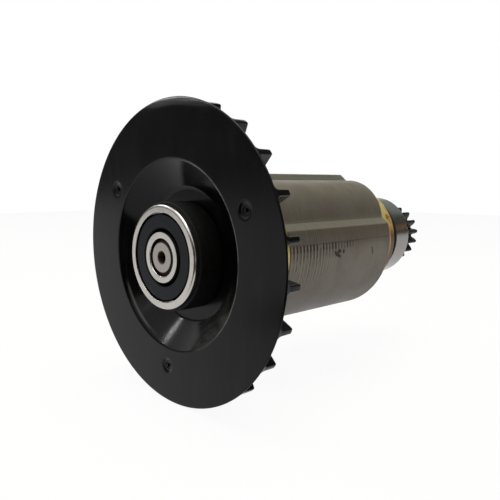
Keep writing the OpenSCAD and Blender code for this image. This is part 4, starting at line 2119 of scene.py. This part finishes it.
@dataclass(frozen=True)
class Flag:
    """A dark card beside the object, which shapes reflections and casts no shadow."""

    name: str
    centre: Corner
    across: Corner
    up: Corner
    shade: Colour

    def build(self) -> None:
        """Hang the card out of the camera's sight."""
        card = flat_card(self.name, self.centre, self.across, self.up)
        material = bpy.data.materials.new(self.name)
        tree = ShaderTree(material)
        tree.end(tree.node("ShaderNodeEmission", None, {"Color": self.shade, "Strength": 1.0}))
        card.data.materials.append(material)
        card.visible_camera = False
        card.visible_shadow = False


LAMPS = (
    Softbox("lamp_over", (0.05, 0.02, 0.62), 0.45, 3.4, (1.0, 1.0, 0.86)),
    Softbox("lamp_front", (0.10, -0.50, 0.62), 0.35, 0.8),
    Softbox("lamp_left", (-0.55, -0.10, 0.52), 0.20, 1.0),
    Softbox("lamp_streak", (-0.310, -0.236, 0.296), 0.012, 0.07),
)

# Each card: its name, middle, whole width and height as vectors, and shade
CARDS = (
    ("behind", (0.40, 0.62, 0.112), (1.10, -0.66, 0.0), (0.0, 0.0, 0.206), (0.070, 0.050, 0.040)),
    (
        "ring_top", (-0.0065, 0.135, 0.0425), (0.057, 0.0, 0.0), (0.0, 0.0, 0.025),
        (0.42, 0.47, 0.46),
    ),
    ("ring_mid", (0.030, 0.135, 0.0375), (0.016, 0.0, 0.0), (0.0, 0.0, 0.023), (0.15, 0.145, 0.12)),
    ("ring_low", (0.046, 0.135, 0.0168), (0.034, 0.0, 0.0), (0.0, 0.0, 0.0105), (0.38, 0.26, 0.16)),
    ("far", (-0.90, 0.25, 0.18), (0.0, 0.62, 0.0), (0.0, 0.0, 0.42), (0.19, 0.19, 0.195)),
    ("side", (0.26, -0.08, -0.0318), (0.38, 0.0, 0.0), (0.0, 0.28, 0.0), (0.15, 0.10, 0.08)),
    ("above", (0.20, 0.55, 0.46), (1.20, -0.40, 0.0), (-0.06, -0.30, 0.50), (0.10, 0.113, 0.105)),
    ("left", (-0.52, -0.47, 0.13), (0.95, -1.05, 0.0), (0.0, 0.0, 0.28), (0.21, 0.21, 0.215)),
    ("right", (0.62, -0.45, 0.20), (0.60, 0.80, 0.0), (0.0, 0.0, 0.40), (0.12, 0.11, 0.09)),
    ("front", (0.160, -0.285, 0.085), (0.26, 0.15, 0.0), (0.0, 0.0, 0.232), (0.045, 0.030, 0.026)),
    ("low", (0.055, -0.190, 0.028), (0.15, 0.03, 0.0), (0.0, 0.0, 0.118), (0.030, 0.008, 0.012)),
    ("floor", (0.045, -0.120, -0.0315), (0.17, 0.03, 0.0), (-0.02, 0.14, 0.0), (0.03, 0.01, 0.014)),
    ("rim", (-0.30, 0.220, 0.030), (0.0, 0.20, 0.0), (0.0, 0.0, 0.120), (0.03, 0.03, 0.03)),
)


@dataclass(frozen=True)
class Studio:
    """A plain pale floor, soft lamps, and the photograph's camera."""

    eye: Corner = (0.09450, -0.06923, 0.01536)
    right: Corner = (0.669704, 0.742631, 0.0)
    up: Corner = (-0.124420, 0.112201, 0.98587)
    back: Corner = (0.732138, -0.660235, 0.16754)
    lens: float = 40.71
    sensor: float = 36.0
    shift: Point = (0.0638, 0.0576)
    clip: Point = (0.002, 20.0)
    floor_size: float = 1.6
    floor_drop: float = 0.0001
    floor_colour: Colour = (0.90, 0.90, 0.90)
    backdrop_share: float = 0.94
    sky: Colour = (0.95, 1.0, 0.95)
    sky_strength: float = 0.22
    target: Corner = (0.0, 0.035, 0.0)

    def camera(self) -> None:
        """Set the camera up as the photograph's was."""
        data = bpy.data.cameras.new("photo_camera")
        data.lens = self.lens
        data.sensor_width = self.sensor
        data.shift_x, data.shift_y = self.shift
        data.clip_start, data.clip_end = self.clip
        holder = link_object("photo_camera", data)
        turn = Matrix((self.right, self.up, self.back)).transposed().to_4x4()
        holder.matrix_world = Matrix.Translation(self.eye) @ turn
        bpy.context.scene.camera = holder

    def floor(self) -> None:
        """A pale floor under the fan that blends into the backdrop."""
        size, level = self.floor_size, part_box("fan")[0].z - self.floor_drop
        floor = flat_card("studio_floor", (0.0, 0.0, level), (size, 0.0, 0.0), (0.0, size, 0.0))
        material = bpy.data.materials.new("studio_floor")
        tree = ShaderTree(material)
        matt = tree.node("ShaderNodeBsdfDiffuse", None, {"Color": self.floor_colour})
        white = tree.node("ShaderNodeEmission", None, {"Color": WHITE, "Strength": 1.0})
        tree.end(tree.either(self.seen_directly(tree) * self.backdrop_share, matt, white))
        floor.data.materials.append(material)

    @staticmethod
    def seen_directly(tree: ShaderTree) -> Wire:
        """1 for rays that see the backdrop: from the camera, a gloss or glass.

        Args:
            tree: The tree that the test goes into.

        Returns:
            The test.
        """
        rays = tree.node("ShaderNodeLightPath")
        found = Wire(tree, rays.outputs["Is Camera Ray"])
        for name in ("Is Glossy Ray", "Is Transmission Ray"):
            found = found.at_least(Wire(tree, rays.outputs[name]))
        return found

    def world(self) -> None:
        """White for what the camera sees, soft sky light for matt surfaces."""
        world = bpy.data.worlds.new("studio")
        bpy.context.scene.world = world
        tree = ShaderTree(world, "ShaderNodeOutputWorld")
        sky, white = (
            tree.node("ShaderNodeBackground", None, {"Color": colour, "Strength": strength})
            for colour, strength in ((self.sky, self.sky_strength), (WHITE, 1.0))
        )
        tree.end(tree.either(self.seen_directly(tree), sky, white))

    def build(self) -> None:
        """Set up everything round the object."""
        self.camera()
        self.floor()
        self.world()
        for lamp in LAMPS:
            lamp.build(Vector(self.target))
        for name, *card in CARDS:
            Flag(f"card_{name}", *card).build()
        bpy.context.scene.view_settings.view_transform = "Standard"
        LOG.info("studio: %d lamps, %d cards", len(LAMPS), len(CARDS))


def main() -> None:
    """Build the armature and its studio, in order."""
    logging.basicConfig(level=logging.INFO, format="%(name)s: %(message)s")
    FanMoulding().build()
    BallBearing(End.FRONT).build()
    LaminatedCore().build()
    BalanceRings().build()
    RotorShaft().build()
    BallBearing(End.REAR).build()
    DriveGear().build()
    Studio().build()


if __name__ == "__main__":
    main()
